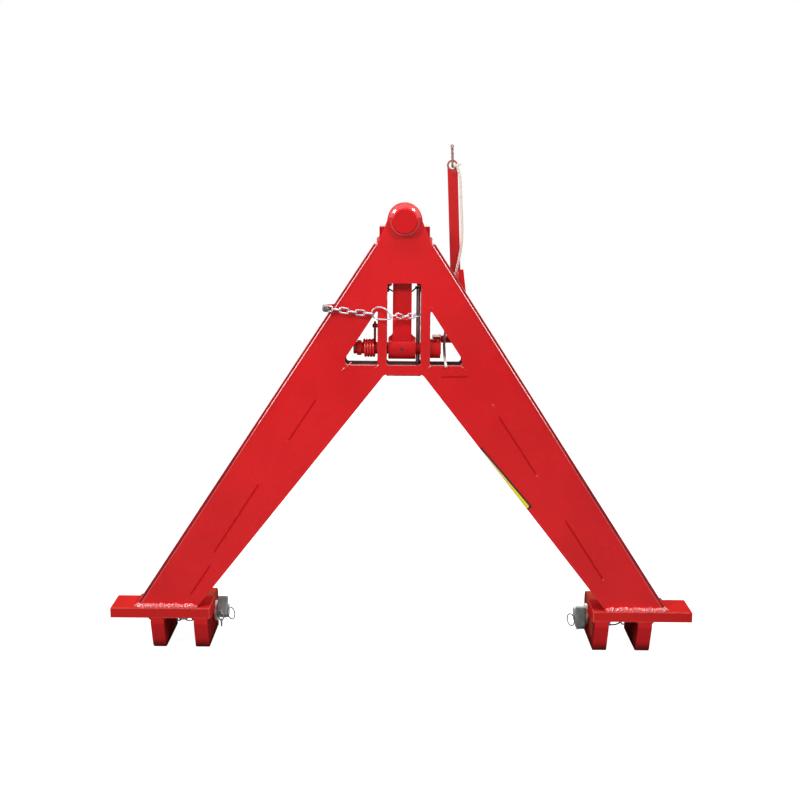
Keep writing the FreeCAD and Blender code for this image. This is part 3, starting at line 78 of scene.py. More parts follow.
camera_data = bpy.data.cameras.new("camera")
camera_data.sensor_width = SENSOR
camera_data.lens = FOCUS_PIXELS * SENSOR / IMAGE_PIXELS
camera = bpy.data.objects.new("camera", camera_data)
bpy.context.scene.collection.objects.link(camera)
bpy.context.scene.camera = camera
camera.matrix_world = (Matrix.Translation(CAMERA_SPOT)
                       @ Matrix.Rotation(math.radians(90) - CAMERA_DOWN, 4, "X")
                       @ Matrix.Rotation(CAMERA_ROLL, 4, "Z"))
print("lens", round(camera_data.lens, 2), "mm")

# %% [markdown]
# Every new piece is a surface on a grid: rows run along it and columns run
# round it. Numpy works out all the points at once, and the quads between them
# follow from their numbers. Ends that shrink to a point close the piece.

# %% Surfaces from grids


def circle(count):
    """Cosines and sines of so many angles, spaced evenly round a turn."""
    angle = np.linspace(0, 2 * np.pi, count, endpoint=False)
    return np.cos(angle), np.sin(angle)


def unit(vectors):
    """The same directions, each one unit long."""
    vectors = np.asarray(vectors, float)
    return vectors / np.linalg.norm(vectors, axis=-1, keepdims=True)


def shell(points, ring=False):
    """Points (rows, columns, 3) and their quads. Columns always join round;
    with ring, the last row joins the first as well."""
    rows, columns = points.shape[:2]
    number = np.arange(rows * columns).reshape(rows, columns)
    number = np.hstack([number, number[:, :1]])
    if ring:
        number = np.vstack([number, number[:1]])
    quads = np.stack([number[:-1, :-1], number[1:, :-1], number[1:, 1:], number[:-1, 1:]],
                     axis=-1)
    return points.reshape(-1, 3), quads.reshape(-1, 4)


def piece(name, shells, body, material, replaces=(), smooth=60):
    """One object out of several shells, welded at its poles, faces outwards."""
    starts = np.cumsum([0] + [len(points) for points, quads in shells[:-1]])
    points = np.concatenate([points for points, quads in shells])
    quads = np.concatenate([quads + start for (rows, quads), start in zip(shells, starts)])
    mesh = bpy.data.meshes.new(name)
    mesh.from_pydata(points.tolist(), [], quads.tolist())
    grid = bmesh.new()
    grid.from_mesh(mesh)
    bmesh.ops.remove_doubles(grid, verts=grid.verts, dist=1e-7)
    bmesh.ops.recalc_face_normals(grid, faces=grid.faces)
    grid.to_mesh(mesh)
    grid.free()
    mesh.shade_smooth()
    mesh.set_sharp_from_angle(angle=math.radians(smooth))
    thing = bpy.data.objects.new(name, mesh)
    bpy.context.scene.collection.objects.link(thing)
    mesh.materials.append(material)
    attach(thing, body)
    if replaces:
        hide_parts(*replaces)
    print(f"{name}: {len(mesh.polygons)} faces")
    return thing


# %% [markdown]
# Most small parts are tubes along a line or turned pieces. Both are grids too:
# rows follow the line or the profile, and columns go round it.

# %% Tubes and turned parts


def frames(path, ring=False, up=(0, 0, 1)):
    """Heading, side and lift at each point of a path. The side is square to the
    heading and to one fixed direction, so a tube round it doesn't twist."""
    if ring:
        heading = unit(np.roll(path, -1, axis=0) - np.roll(path, 1, axis=0))
    else:
        heading = unit(np.gradient(path, axis=0))
    side = unit(np.cross(heading, np.asarray(up, float)))
    return heading, side, np.cross(side, heading)


def tube(path, radius, sides=12, ring=False, up=(0, 0, 1)):
    """Round bar along a path: path + radius (cos a side + sin a lift). The
    radius may change along the path. Open ends are domed to a point."""
    heading, side, lift = frames(path, ring, up)
    radius = np.broadcast_to(np.asarray(radius, float), (len(path),))
    if not ring:
        tip = radius[0] * 0.5
        path, side, lift = (np.pad(rows, ((2, 2), (0, 0)), "edge") for rows in (path, side, lift))
        path[:2] -= heading[0] * tip
        path[-2:] += heading[-1] * tip
        radius = np.concatenate([[0, radius[0] * 0.7], radius, [radius[-1] * 0.7, 0]])
    cosine, sine = circle(sides)
    round_it = cosine[:, None] * side[:, None, :] + sine[:, None] * lift[:, None, :]
    return shell(path[:, None, :] + radius[:, None, None] * round_it, ring)


def lathe(profile, centre, axis, sides):
    """Turned piece: each (along, radius) of the profile, in millimetres, swept
    round an axis that isn't upright."""
    axis = unit(axis)
    across = unit(np.cross(axis, (0, 0, 1)))
    cosine, sine = circle(sides)
    around = cosine[:, None] * across + sine[:, None] * np.cross(axis, across)
    profile = np.asarray(profile, float) / 1000
    return shell(np.asarray(centre) + profile[:, 0, None, None] * axis
                 + profile[:, 1, None, None] * around)


# %% [markdown]
# ## Finishes
# Materials are node trees. A small helper adds a node, sets its plain values
# and links what feeds it, so that each tree reads like a list of steps.

# %% Node helper
ORIGIN = (0, 0, 0)


def feed(tree, socket, value):
    """Link a socket to another one or set its value. Colours are opaque."""
    if isinstance(value, bpy.types.NodeSocket):
        tree.links.new(value, socket)
    elif socket.type == "RGBA":
        socket.default_value = (*value, 1)
    else:
        socket.default_value = value


def add(tree, kind, settings=(), feeds=()):
    """Add one node. settings are its own options; feeds go to its sockets."""
    node = tree.nodes.new(kind)
    for key, value in dict(settings).items():
        setattr(node, key, value)
    for key, value in dict(feeds).items():
        feed(tree, node.inputs[key], value)
    return node


def maths(tree, operation, first, second=0.0, third=0.0):
    """Result of one sum, product or comparison."""
    return add(tree, "ShaderNodeMath", {"operation": operation},
               {0: first, 1: second, 2: third}).outputs[0]


def times(tree, first, second, plus=0.0):
    """first * second + plus."""
    return maths(tree, "MULTIPLY_ADD", first, second, plus)


def ramp(tree, value, low, high, start=0.0, end=1.0):
    """Carry value from the span low..high smoothly onto start..end."""
    return add(tree, "ShaderNodeMapRange", {"interpolation_type": "SMOOTHSTEP"},
               {0: value, 1: low, 2: high, 3: start, 4: end}).outputs[0]


def noise(tree, where, scale, detail=3.0, roughness=0.5):
    """Cloudy noise from 0 to 1, its grains 1/scale metres wide."""
    return add(tree, "ShaderNodeTexNoise", {},
               {"Vector": where, "Scale": scale, "Detail": detail,
                "Roughness": roughness}).outputs[0]


def blend(tree, share, first, second):
    """Mix two colours."""
    return add(tree, "ShaderNodeMix", {"data_type": "RGBA"},
               {0: share, 6: first, 7: second}).outputs[2]


def effect(name, inputs, outputs):
    """Empty node group. Its inputs have a name and a start value, a number or a
    vector; its outputs are numbers."""
    tree = bpy.data.node_groups.new(name, "ShaderNodeTree")
    for label, start in inputs.items():
        kind = "NodeSocketFloat" if isinstance(start, float) else "NodeSocketVector"
        socket = tree.interface.new_socket(name=label, in_out="INPUT", socket_type=kind)
        socket.default_value = start
    for label in outputs:
        tree.interface.new_socket(name=label, in_out="OUTPUT", socket_type="NodeSocketFloat")
    print("group:", name, "->", ", ".join(outputs))
    return tree, add(tree, "NodeGroupInput").outputs, add(tree, "NodeGroupOutput").inputs


# %% [markdown]
# Sprayed enamel is never quite flat. It shows orange peel, a skin of dimples a
# millimetre or two wide, over the slow waves of the rolled plate. Both are
# heights for a Bump node. The group has one knob for each.

# %% Group: orange peel
peel, given, out = effect("orange peel", {"Where": ORIGIN, "Dimples": 1.0, "Waves": 1.0},
                          ["Height"])
dimples = noise(peel, given["Where"], 520.0, 2.0, 0.45)
waves = noise(peel, given["Where"], 22.0, 2.0, 0.5)
feed(peel, out["Height"], times(peel, dimples, given["Dimples"],
                                times(peel, waves, given["Waves"])))

# %% [markdown]
# Paint is thin on corners, and that is where it rubs off. The Bevel node gives
# the normal that a rounded corner would have. Where it leans away from the true
# normal there is an edge. Noise breaks the mask into chips.

# %% Group: edge wear
EDGE_WIDTH = 0.0015
wear, given, out = effect("edge wear", {"Where": ORIGIN, "Amount": 0.5}, ["Edge", "Chips"])
rounded = add(wear, "ShaderNodeBevel", {"samples": 4}, {"Radius": EDGE_WIDTH}).outputs[0]
true_normal = add(wear, "ShaderNodeNewGeometry").outputs["Normal"]
lean = add(wear, "ShaderNodeVectorMath", {"operation": "DOT_PRODUCT"},
           {0: rounded, 1: true_normal}).outputs["Value"]
edge = ramp(wear, lean, 0.995, 0.90)
grains = noise(wear, given["Where"], 260.0, 5.0, 0.65)
worn = times(wear, given["Amount"], 0.35, grains)
feed(wear, out["Edge"], edge)
feed(wear, out["Chips"], times(wear, edge, ramp(wear, worn, 0.78, 0.86)))

# %% [markdown]
# A rubbed patch sits at one place: where a ball end knocks on an ear, or a pin
# has scraped. Its mask is the distance to a centre, bent by noise so that the
# rim is ragged.

# %% Group: rubbed patch
patch, given, out = effect("rubbed patch", {"Where": ORIGIN, "Centre": ORIGIN, "Reach": 0.03},
                           ["Patch"])
gap = add(patch, "ShaderNodeVectorMath", {"operation": "DISTANCE"},
          {0: given["Where"], 1: given["Centre"]}).outputs["Value"]
share = maths(patch, "DIVIDE", gap, given["Reach"])
ragged = times(patch, noise(patch, given["Where"], 90.0, 5.0, 0.6), 1.6, -0.8)
feed(patch, out["Patch"], ramp(patch, maths(patch, "ADD", share, ragged), 1.0, 0.55))

# %% [markdown]
# Fine parallel lines are left by a lathe, a rolling mill or a saw. They are
# noise on squeezed coordinates: long along the lines and fine across them.

# %% Group: tool marks
marks, given, out = effect("tool marks", {"Where": ORIGIN, "Squeeze": (1, 1, 1),
                                          "Scale": 400.0}, ["Lines"])
squeezed = add(marks, "ShaderNodeVectorMath", {"operation": "MULTIPLY"},
               {0: given["Where"], 1: given["Squeeze"]}).outputs[0]
feed(marks, out["Lines"], noise(marks, squeezed, given["Scale"], 4.0, 0.6))

# %% [markdown]
# Dust and spray haze settle in soft clouds. One slow noise and one fast noise,
# multiplied, give a mask that dulls the gloss here and there.

# %% Group: haze
haze, given, out = effect("haze", {"Where": ORIGIN}, ["Haze"])
cloud = ramp(haze, noise(haze, given["Where"], 9.0, 4.0, 0.55), 0.35, 0.75)
fine = times(haze, noise(haze, given["Where"], 270.0, 2.0, 0.5), 0.5, 0.6)
feed(haze, out["Haze"], times(haze, cloud, fine))

# %% [markdown]
# Three steps are the same in every material: its start, the use of an effect
# group, and the links into the shader.

# %% Start of a material


def new_material(name):
    """Empty material: its tree, its main shader and the place on the object."""
    material = bpy.data.materials.new(name)
    material.use_nodes = True
    tree = material.node_tree
    where = add(tree, "ShaderNodeTexCoord").outputs["Object"]
    print("finish:", name)
    return material, tree, tree.nodes["Principled BSDF"], where


def use(tree, group, **feeds):
    """Place an effect group and feed its named sockets."""
    return add(tree, "ShaderNodeGroup", {"node_tree": group}, feeds).outputs


def finish_shader(tree, shader, color, roughness, height, distance, **plain):
    """Feed colour, roughness and bump, and set the plain sockets."""
    feed(tree, shader.inputs["Base Color"], color)
    feed(tree, shader.inputs["Roughness"], roughness)
    bump = add(tree, "ShaderNodeBump", {}, {"Height": height, "Distance": distance})
    feed(tree, shader.inputs["Normal"], bump.outputs[0])
    for key, value in plain.items():
        shader.inputs[key.replace("_", " ")].default_value = value


# %% [markdown]
# The red enamel: a strong red whose depth drifts a little, thinner and paler on
# the corners, with a few chips down to grey primer. Rubbed patches are given as
# centres in metres. Castings and forgings get a grainier skin under the paint.
# Some reds also get painted shade on their side faces and near the ground, and a
# painted highlight on their corners.

# %% Red enamel
RED, DEEP_RED, THIN_RED = (0.66, 0.0105, 0.0135), (0.56, 0.0085, 0.0110), (0.76, 0.052, 0.040)
PRIMER, WORN_BROWN, LOW_SHADE = (0.24, 0.17, 0.15), (0.36, 0.085, 0.050), (0.045, 0.008, 0.008)


def red_enamel(name, dimples=1.0, waves=1.0, grain=0.0, worn=0.35, gloss=0.24, rough=0.20,
               red=RED, deep=DEEP_RED, thin_paint_and_highlight=THIN_RED, pale=0.40, sides=None, axis=(1, 0, 0),
               patches=(), shade_below=0.0, coat=0.0):
    """Gloss red over steel. Each patch is a centre, a reach and a strength. pale
    is how far the paint on the corners goes to the corner colour: thinner paint by
    default, a painted highlight on the bars. sides is a colour of painted shade for
    the faces that look along the axis. Below a given height in metres, painted shade
    darkens the red towards the ground, and coat is a layer of clear lacquer."""
    material, tree, shader, where = new_material(name)
    drift = noise(tree, where, 7.0, 3.0, 0.5)
    color = blend(tree, ramp(tree, drift, 0.3, 0.75), deep, red)
    # Painted shade: faces that look along the axis turn to the side colour, in clouds.
    if sides:
        facing = add(tree, "ShaderNodeTexCoord").outputs["Normal"]
        sideways = add(tree, "ShaderNodeVectorMath", {"operation": "DOT_PRODUCT"},
                       {0: facing, 1: axis}).outputs["Value"]
        turned = ramp(tree, maths(tree, "ABSOLUTE", sideways), 0.6, 0.9)
        cloudy = ramp(tree, noise(tree, where, 45.0, 4.0, 0.6), 0.25, 0.65, 0.55, 0.95)
        color = blend(tree, times(tree, turned, cloudy), color, sides)
    mask = use(tree, wear, Where=where, Amount=worn)
    # Corners go to the corner colour: thinner paint by default, and on the bars a painted
    # highlight.
    color = blend(tree, times(tree, mask["Edge"], pale), color, thin_paint_and_highlight)
    color = blend(tree, mask["Chips"], color, PRIMER)
    # Painted shade: below the given height the red darkens towards the ground.
    if shade_below:
        tall = add(tree, "ShaderNodeSeparateXYZ", {}, {0: where}).outputs["Z"]
        color = blend(tree, ramp(tree, tall, shade_below, 0.0, 0.0, 0.85), color, LOW_SHADE)
    roughness = times(tree, use(tree, haze, Where=where)["Haze"], 0.16, rough)
    for centre, reach, strength in patches:
        rubbed = use(tree, patch, Where=where, Centre=centre, Reach=reach)["Patch"]
        rubbed = times(tree, rubbed, strength)
        color = blend(tree, rubbed, color, WORN_BROWN)
        roughness = times(tree, rubbed, 0.3, roughness)
    height = use(tree, peel, Where=where, Dimples=dimples, Waves=waves * 6)["Height"]
    if grain:
        height = times(tree, noise(tree, where, 700.0, 4.0, 0.7), grain, height)
    finish_shader(tree, shader, color, roughness, height, 0.00006, Specular_IOR_Level=gloss,
                  Coat_Weight=coat)
    return material


# %% [markdown]
# Every painted part has its own red, in shares of red, green and blue light.
# Castings are grainy, welds are glossy, and what is near the ground is dull, with
# places where ball ends and pins have rubbed. The feet and the bars have darker
# reds than the plates: painted shade of the weaker light near the ground.

# %% Reds
plate_red = red_enamel("red_plate")
cast_red = red_enamel("red_casting", dimples=1.2, grain=1.6, worn=0.45, gloss=0.14,
                      red=(0.60, 0.0095, 0.0125), deep=(0.52, 0.0080, 0.0105))
weld_red = red_enamel("red_weld", dimples=0.3, grain=0.12, worn=0.15, gloss=1.0, rough=0.07,
                      coat=1.0)
seam_red = red_enamel("red_seam", worn=0.0, gloss=0.0, red=(0.47, 0.0095, 0.0125),
                      deep=(0.42, 0.0085, 0.0110), pale=0.0)
# Painted shade: the walls' faces that look forwards and rearwards, narrow strips beside the
# plates, are near black.
wall_red = red_enamel("red_wall", axis=(0, 1, 0), sides=(0.13, 0.006, 0.010), pale=0.1)
lever_red = red_enamel("red_lever", red=(0.51, 0.0115, 0.0145), deep=(0.45, 0.010, 0.012),
                       patches=[((0.090, 0.0185, 0.946), 0.016, 0.9)])
spring_red = red_enamel("red_spring", dimples=0.4, waves=0.2, worn=0.6, gloss=0.8, rough=0.10)
lug_red = red_enamel("red_lug", worn=0.4, red=(0.50, 0.0025, 0.0052), deep=(0.40, 0.0020, 0.0042))
# The sill's top is dark grey-brown: grime, and painted shade on the window's floor under the
# latch.
sill_grime_and_shade = red_enamel("red_sill", worn=0.3, gloss=0.0, red=(0.15, 0.085, 0.075),
                      deep=(0.09, 0.050, 0.045), rough=0.6, pale=0.1)
EAR_RUBS = [(spot(-386, 100, -8), 0.034, 0.55), (spot(386, 100, -6), 0.038, 0.7),
            (spot(-380, 118, -30), 0.028, 0.35), (spot(380, 44, -46), 0.026, 0.45)]
# Painted shade: the ears' side faces go dark brown-red, and their lowest 26 mm darken towards the
# ground.
foot_red = red_enamel("red_foot", worn=0.4, gloss=0.0, sides=(0.16, 0.012, 0.010),
                      red=(0.56, 0.0190, 0.0220), deep=(0.48, 0.0150, 0.0180), shade_below=0.026,
                      patches=EAR_RUBS)
# The bars' corners go nearly white-pink: a painted highlight along their front top edges.
bar_red = red_enamel("red_bar", worn=0.3, gloss=0.0, red=(0.54, 0.0210, 0.0190),
                     deep=(0.46, 0.0170, 0.0160), pale=0.9, thin_paint_and_highlight=(0.95, 0.34, 0.31))
fillet_red = red_enamel("red_fillet", worn=0.1, gloss=0.0, red=(0.54, 0.0170, 0.0180),
                        deep=(0.46, 0.0130, 0.0140), pale=0.0)

# %% [markdown]
# Bare and plated steel are metals: the colour is the colour of their glints.
# Turned pins show rings, zinc plate shows faint clouds, and a cast head is
# grainy. A little rust brown and grey grime take the newness off.

# %% Steel and zinc


def steel(name, bright, dark, lines=(1, 1, 1), scale=500.0, rough=0.34, grain=0.3, stain=0.25,
          stain_color=(0.16, 0.10, 0.07), metal=1.0):
    """Metal with tool marks, stains and cloudy darker patches."""
    material, tree, shader, where = new_material(name)
    drawn = use(tree, marks, Where=where, Squeeze=lines, Scale=scale)["Lines"]
    cloud = noise(tree, where, 60.0, 4.0, 0.6)
    color = blend(tree, ramp(tree, cloud, 0.3, 0.7), dark, bright)
    spots = ramp(tree, noise(tree, where, 130.0, 5.0, 0.65), 0.52, 0.72)
    color = blend(tree, times(tree, spots, stain), color, stain_color)
    roughness = times(tree, drawn, 0.22, rough - 0.08)
    height = times(tree, noise(tree, where, 900.0, 3.0, 0.6), grain, drawn)
    finish_shader(tree, shader, color, roughness, height, 0.00004, Metallic=metal)
    return material


pin_steel = steel("pin_steel", (0.50, 0.49, 0.48), (0.34, 0.33, 0.32), lines=(40, 1, 1),
                  scale=60.0)
rod_steel = steel("rod_steel", (0.46, 0.46, 0.47), (0.28, 0.28, 0.29), lines=(1, 1, 0.05),
                  metal=0.6)
ring_steel = steel("ring_steel", (0.26, 0.26, 0.27), (0.13, 0.13, 0.14))
washer_steel = steel("washer_steel", (0.80, 0.77, 0.75), (0.62, 0.58, 0.56), scale=300.0,
                     rough=0.42)
zinc = steel("zinc", (0.62, 0.64, 0.66), (0.40, 0.42, 0.44), scale=300.0, grain=0.2,
             stain=0.15, stain_color=(0.16, 0.16, 0.15))
chain_zinc = steel("chain_zinc", (0.66, 0.67, 0.69), (0.34, 0.35, 0.37), rough=0.30,
                   grain=0.5, stain=0.75, stain_color=(0.07, 0.07, 0.07))
cast_zinc = steel("cast_zinc", (0.30, 0.35, 0.34), (0.18, 0.22, 0.21), scale=700.0,
                  rough=0.46, grain=1.8, stain=0.35, stain_color=(0.07, 0.08, 0.08), metal=0.5)
foot_zinc = steel("foot_zinc", (0.42, 0.43, 0.45), (0.14, 0.14, 0.15), rough=0.30, grain=0.5,
                  stain=0.9, stain_color=(0.03, 0.03, 0.03))
black_steel = steel("black_steel", (0.11, 0.10, 0.10), (0.05, 0.05, 0.05), rough=0.45)
bronze = steel("bronze", (0.62, 0.42, 0.20), (0.42, 0.27, 0.12), rough=0.32, stain=0.3,
               stain_color=(0.10, 0.07, 0.04))

# %% [markdown]
# Cords are fabric or rubber: no metal, a rough surface and a fine bump. The
# rope is cream with dark flecks where grease has got into the strands.

# %% Rope and cords


def cord_finish(name, main, fleck, share, rough=0.75):
    """Dull fibre or rubber with flecks of a second colour."""
    material, tree, shader, where = new_material(name)
    spots = ramp(tree, noise(tree, where, 160.0, 4.0, 0.7), 0.70 - share, 0.74 - share * 0.6)
    color = blend(tree, spots, main, fleck)
    fibre = noise(tree, where, 900.0, 4.0, 0.7)
    color = blend(tree, ramp(tree, fibre, 0.35, 0.7, 0.25, 0.0), color, fleck)
    roughness = times(tree, fibre, 0.2, rough - 0.1)
    finish_shader(tree, shader, color, roughness, fibre, 0.0002)
    return material


rope_fibre = cord_finish("rope_fibre", (0.80, 0.72, 0.64), (0.30, 0.22, 0.19), 0.10)
loop_fibre = cord_finish("loop_fibre", (0.20, 0.045, 0.045), (0.62, 0.56, 0.50), 0.12)
black_rubber = cord_finish("black_rubber", (0.016, 0.016, 0.017), (0.06, 0.055, 0.05), 0.06,
                           rough=0.55)

# %% [markdown]
# Each solid now gets its finish. Those that aren't named here are plate red.

# %% Finish of each solid
# The grease nipple is black: painted shade of the hole it sits in.
FINISH = {"chain_bolt": zinc, "ear_eyes": zinc, "grease_nipple": black_steel,
          "set_screw": black_steel, "safety_pin": rod_steel, "shaft_bushes": bronze,
          "sill_plate": sill_grime_and_shade, "spring_stop": spring_red, "release_lever": lever_red,
          "chain_lug": fillet_red}
for side in ("left", "right"):
    FINISH.update({f"{side}_link_pin": pin_steel, f"{side}_pin_washer": washer_steel,
                   f"{side}_linchpin": cast_zinc, f"{side}_inner_ear": foot_red,
                   f"{side}_outer_ear": foot_red, f"{side}_base_bar": bar_red,
                   f"{side}_top_lug": lug_red, f"{side}_outer_wall": wall_red})
for name in ("apex_boss", "latch", "lever_hub", "latch_shaft", "shaft_collar", "lever_arm"):
    FINISH[name] = cast_red
print("solids with a finish of their own:", len(FINISH))

# %% [markdown]
# The solids have knife edges, but sawn and painted steel never does. Each solid
# keeps its mesh and gets three modifiers: one merges its loose triangles, one
# joins the flat ones, and one rounds its edges and keeps its faces flat.

# %% Rounded edges on the solids
EDGE = {"plate": 0.0009, "small": 0.0004, "ear": 0.003}
SMALL = ("chain_bolt", "grease_nipple", "set_screw", "shaft_bushes", "safety_pin",
         "spring_stop", "ear_eyes")


def modifier(node, name, kind, **settings):
    """Add one modifier to a node and set its options."""
    made = node.modifiers.new(name, kind)
    for key, value in settings.items():
        setattr(made, key, value)


for name, node in NODES.items():
    mesh = node.data
    if "custom_normal" in mesh.attributes:
        mesh.attributes.remove(mesh.attributes["custom_normal"])
    mesh.shade_smooth()
    mesh.materials.clear()
    mesh.materials.append(FINISH.get(name, plate_red))
    kind = "small" if name in SMALL else "ear" if name.endswith("_ear") else "plate"
    modifier(node, "merge", "WELD", merge_threshold=1e-5)
    modifier(node, "flat", "DECIMATE", decimate_type="DISSOLVE", angle_limit=math.radians(0.5))
    modifier(node, "round", "BEVEL", width=EDGE[kind], segments=2, limit_method="ANGLE",
             angle_limit=math.radians(28), harden_normals=True, use_clamp_overlap=True)
print("edges rounded on", len(NODES), "solids")

# %% [markdown]
# ## Weld beads
# A fillet weld is a convex strip across a corner, with a scallop for every step
# of the welder's hand. One function makes them all. Its path runs along the
# corner, and two directions say which faces its feet stand on. A table holds
# the habits of each kind of bead: its size, the step of the hand, its crown, and
# how uneven and scalloped it is. A crown of 1 is a quarter circle, 0 is flat, and
# below 0 the bead is hollow.

# %% Bead along a corner
SUNK, BOW, SHAKE = 0.05, 0.55, 0.25
SHAKE_WAVE, SIZE_WAVE = 31, 23
# Leg, step, crown, unevenness and scallops of each kind, lengths in millimetres.
HABITS = {
    "plain": (3.2, 2.4, 0.55, 0.10, 0.07), "ground": (2.5, 4.0, 0.15, 0.06, 0.04),
    "heavy": (8.4, 8.5, 0.45, 0.26, 0.34), "foot rear": (6.0, 3.4, 0.8, 0.18, 0.15),
    "foot outside": (5.0, 3.4, 0.5, 0.2, 0.12), "foot inside": (5.0, 3.4, 0.7, 0.2, 0.12),
    "ear root": (6.5, 3.4, 0.15, 0.10, 0.05), "ear back": (4.0, 2.8, 0.4, 0.12, 0.08),
    "nose": (7.0, 12.0, 0.15, 0.02, 0.01), "lug": (5.0, 3.0, 0.5, 0.12, 0.08),
    "bearing": (3.0, 2.6, 0.5, 0.10, 0.08), "guard": (4.0, 2.4, 0.55, 0.10, 0.07),
    "stub": (3.0, 2.4, 0.55, 0.10, 0.07), "hollow": (7.6, 40.0, -0.35, 0.02, 0.0),
}


def wander(s, seed, wave):
    """Slow random drift between -1 and 1: three sine waves with odd phases."""
    phase = np.random.default_rng(int(seed) + 50).uniform(0, 2 * np.pi, 3)
    return (np.sin(2 * np.pi * s / wave + phase[0]) + np.sin(5.1 * s / wave + phase[1])
            + np.sin(9.7 * s / wave + phase[2])) / 3


def bead(path, face_a, face_b, seed, kind="plain", ring=False):
    """Fillet weld. At each point of the path the section goes from a foot on
    face a, over a crown between the chord and the quarter circle, to a foot on
    face b, and back through a point sunk in the corner. The feet's distance
    drifts, and scallops bowed along the weld lift the crown. An open weld thins
    out at its ends. Lengths in mm."""
    leg, step, crown, uneven, scallop = HABITS[kind]
    face_a = np.broadcast_to(np.asarray(face_a, float), path.shape)
    face_b = np.broadcast_to(np.asarray(face_b, float), path.shape)
    steps = np.linalg.norm(np.diff(path, axis=0), axis=1) * 1000
    s = np.concatenate([[0], np.cumsum(steps)])[:, None]
    t = np.linspace(0, 1, 7)[None, :]
    turn = t * np.pi / 2
    bowed = s / step - BOW * np.sin(np.pi * t) + SHAKE * wander(s, seed + 7, SHAKE_WAVE)
    wave = np.abs(np.sin(np.pi * bowed)) * np.sin(np.pi * t)
    size = leg * (1 + uneven * wander(s, seed, SIZE_WAVE) + scallop * wave)
    if not ring:
        size = size * np.sqrt(np.clip(np.minimum(s, s[-1] - s) / (leg * 0.9), 0, 1))
    along_a = size * ((1 - crown) * (1 - t) + crown * np.cos(turn)) / 1000
    along_b = size * ((1 - crown) * t + crown * np.sin(turn)) / 1000
    points = (path[:, None, :] + along_a[..., None] * face_a[:, None, :]
              + along_b[..., None] * face_b[:, None, :])
    sunk = path - (face_a + face_b) * size[:, :1] * SUNK / 1000
    return shell(np.concatenate([points, sunk[:, None, :]], axis=1), ring)


def straight(start, end, every=0.6):
    """Evenly spaced points between two places of the drawing, about every so
    many millimetres."""
    start, end = spot(*start), spot(*end)
    count = max(8, int(np.linalg.norm(end - start) * 1000 / every))
    return start + np.linspace(0, 1, count)[:, None] * (end - start)


# %% [markdown]
# The A's outer edges: the side wall's front edge lies outside the front plate
# and a millimetre behind it, and a long weld fills that step. The same weld runs
# up the back. In the photograph it is the thin bright line on the upper half of
# both legs; further down it was ground low, and the line is gone.

# %% Long welds down the legs
APEX, LEAN = 798.7, 0.6525
CROTCH, CROTCH_HALF, INNER_LEAN = 464.0, 36.7, 0.784
WALL, PLATE, DEPTH = 6.0, 8.0, 65.0
OUTER_SPAN, INNER_SPAN = (2, 710), (6, 458)
GROUND_BELOW, FADE = 0.30, 0.16
FORWARD, REARWARD = np.array([0.0, -1.0, 0.0]), np.array([0.0, 1.0, 0.0])
RIGHT, UP = np.array([1.0, 0.0, 0.0]), np.array([0.0, 0.0, 1.0])


def outer_x(z):
    """Half width of the A at its outer edge."""
    return (APEX - z) * LEAN


def inner_x(z):
    """Half width of the opening between the legs."""
    return CROTCH_HALF + (CROTCH - z) * INNER_LEAN


leg_welds = []
wall_across, corner_shift = WALL * math.hypot(1, LEAN), 4.0 * math.hypot(1, INNER_LEAN)
for side in (-1, 1):
    out_and_up, in_and_down = unit((side, 0, LEAN)), unit((-side, 0, -INNER_LEAN))
    for y, face in ((1, FORWARD), (DEPTH - 1, REARWARD)):
        corner = straight(*((side * (outer_x(z) - wall_across), y, z) for z in OUTER_SPAN))
        low = np.clip((corner[:, 2:] - GROUND_BELOW) / FADE, 0.35, 1.0)
        leg_welds.append(bead(corner, out_and_up * low, face * low, 11 + side, "ground"))
    for y, face in ((PLATE, REARWARD), (DEPTH - PLATE, FORWARD)):
        corner = straight(*((side * (inner_x(z) + corner_shift), y, z) for z in INNER_SPAN))
        leg_welds.append(bead(corner, in_and_down, face, 21 + side))
for y, face, seed in ((PLATE, REARWARD, 31), (DEPTH - PLATE, FORWARD, 32)):
    leg_welds.append(bead(straight((-34, y, CROTCH), (34, y, CROTCH)), -UP, face, seed))
piece("leg_welds", leg_welds, "frame", weld_red)

# %% [markdown]
# The feet: each leg stands on its bar in heavy, uneven beads, which flash white
# in the photograph. The ears hang under the bar in smooth fillets.

# %% Welds of the feet
INSIDE_SHIFT = 4.4
BAR_BACK = 71
EAR_SIDES = ((379, -1), (406.5, 1), (463.5, -1), (491, 1))
foot_welds, foot_fillets = [], []
near, far = inner_x(0), outer_x(0)
for side in (-1, 1):
    front = straight((side * (near - 2), 0, 0), (side * (far + 3), 0, 0))
    rear = front + REARWARD * DEPTH / 1000
    foot_welds.append(bead(front, FORWARD * 0.9, UP, 41 + side, "heavy"))
    foot_welds.append(bead(rear, REARWARD, UP, 44 + side, "foot rear"))
    outside = straight((side * far, 0, 0), (side * far, DEPTH, 0))
    foot_fillets.append(bead(outside, RIGHT * side, unit((-side * LEAN, 0, 1)), 47 + side,
                             "foot outside"))
    x = side * (near + INSIDE_SHIFT)
    inside = straight((x, PLATE, 0), (x, DEPTH - PLATE, 0))
    foot_fillets.append(bead(inside, -RIGHT * side, unit((-side * INNER_LEAN, 0, 1)), 50 + side,
                             "foot inside"))
    for x, away in EAR_SIDES:
        seed = side + x // 9
        root = straight((side * x, -7, -20), (side * x, BAR_BACK, -20))
        back = straight((side * x, BAR_BACK + 1, -19), (side * x, BAR_BACK + 1, -4))
        foot_fillets.append(bead(root, RIGHT * side * away, -UP, 53 + seed, "ear root"))
        foot_fillets.append(bead(back, RIGHT * side * away, REARWARD, 61 + seed, "ear back"))
piece("foot_welds", foot_welds, "frame", weld_red)
piece("foot_fillets", foot_fillets, "frame", fillet_red)

# %% [markdown]
# Round the nose and in the latch's windows: a ring weld about the boss, which
# gets low on its underside, fillets up the bearing plates, and fillets down both
# sides of the top link lugs.

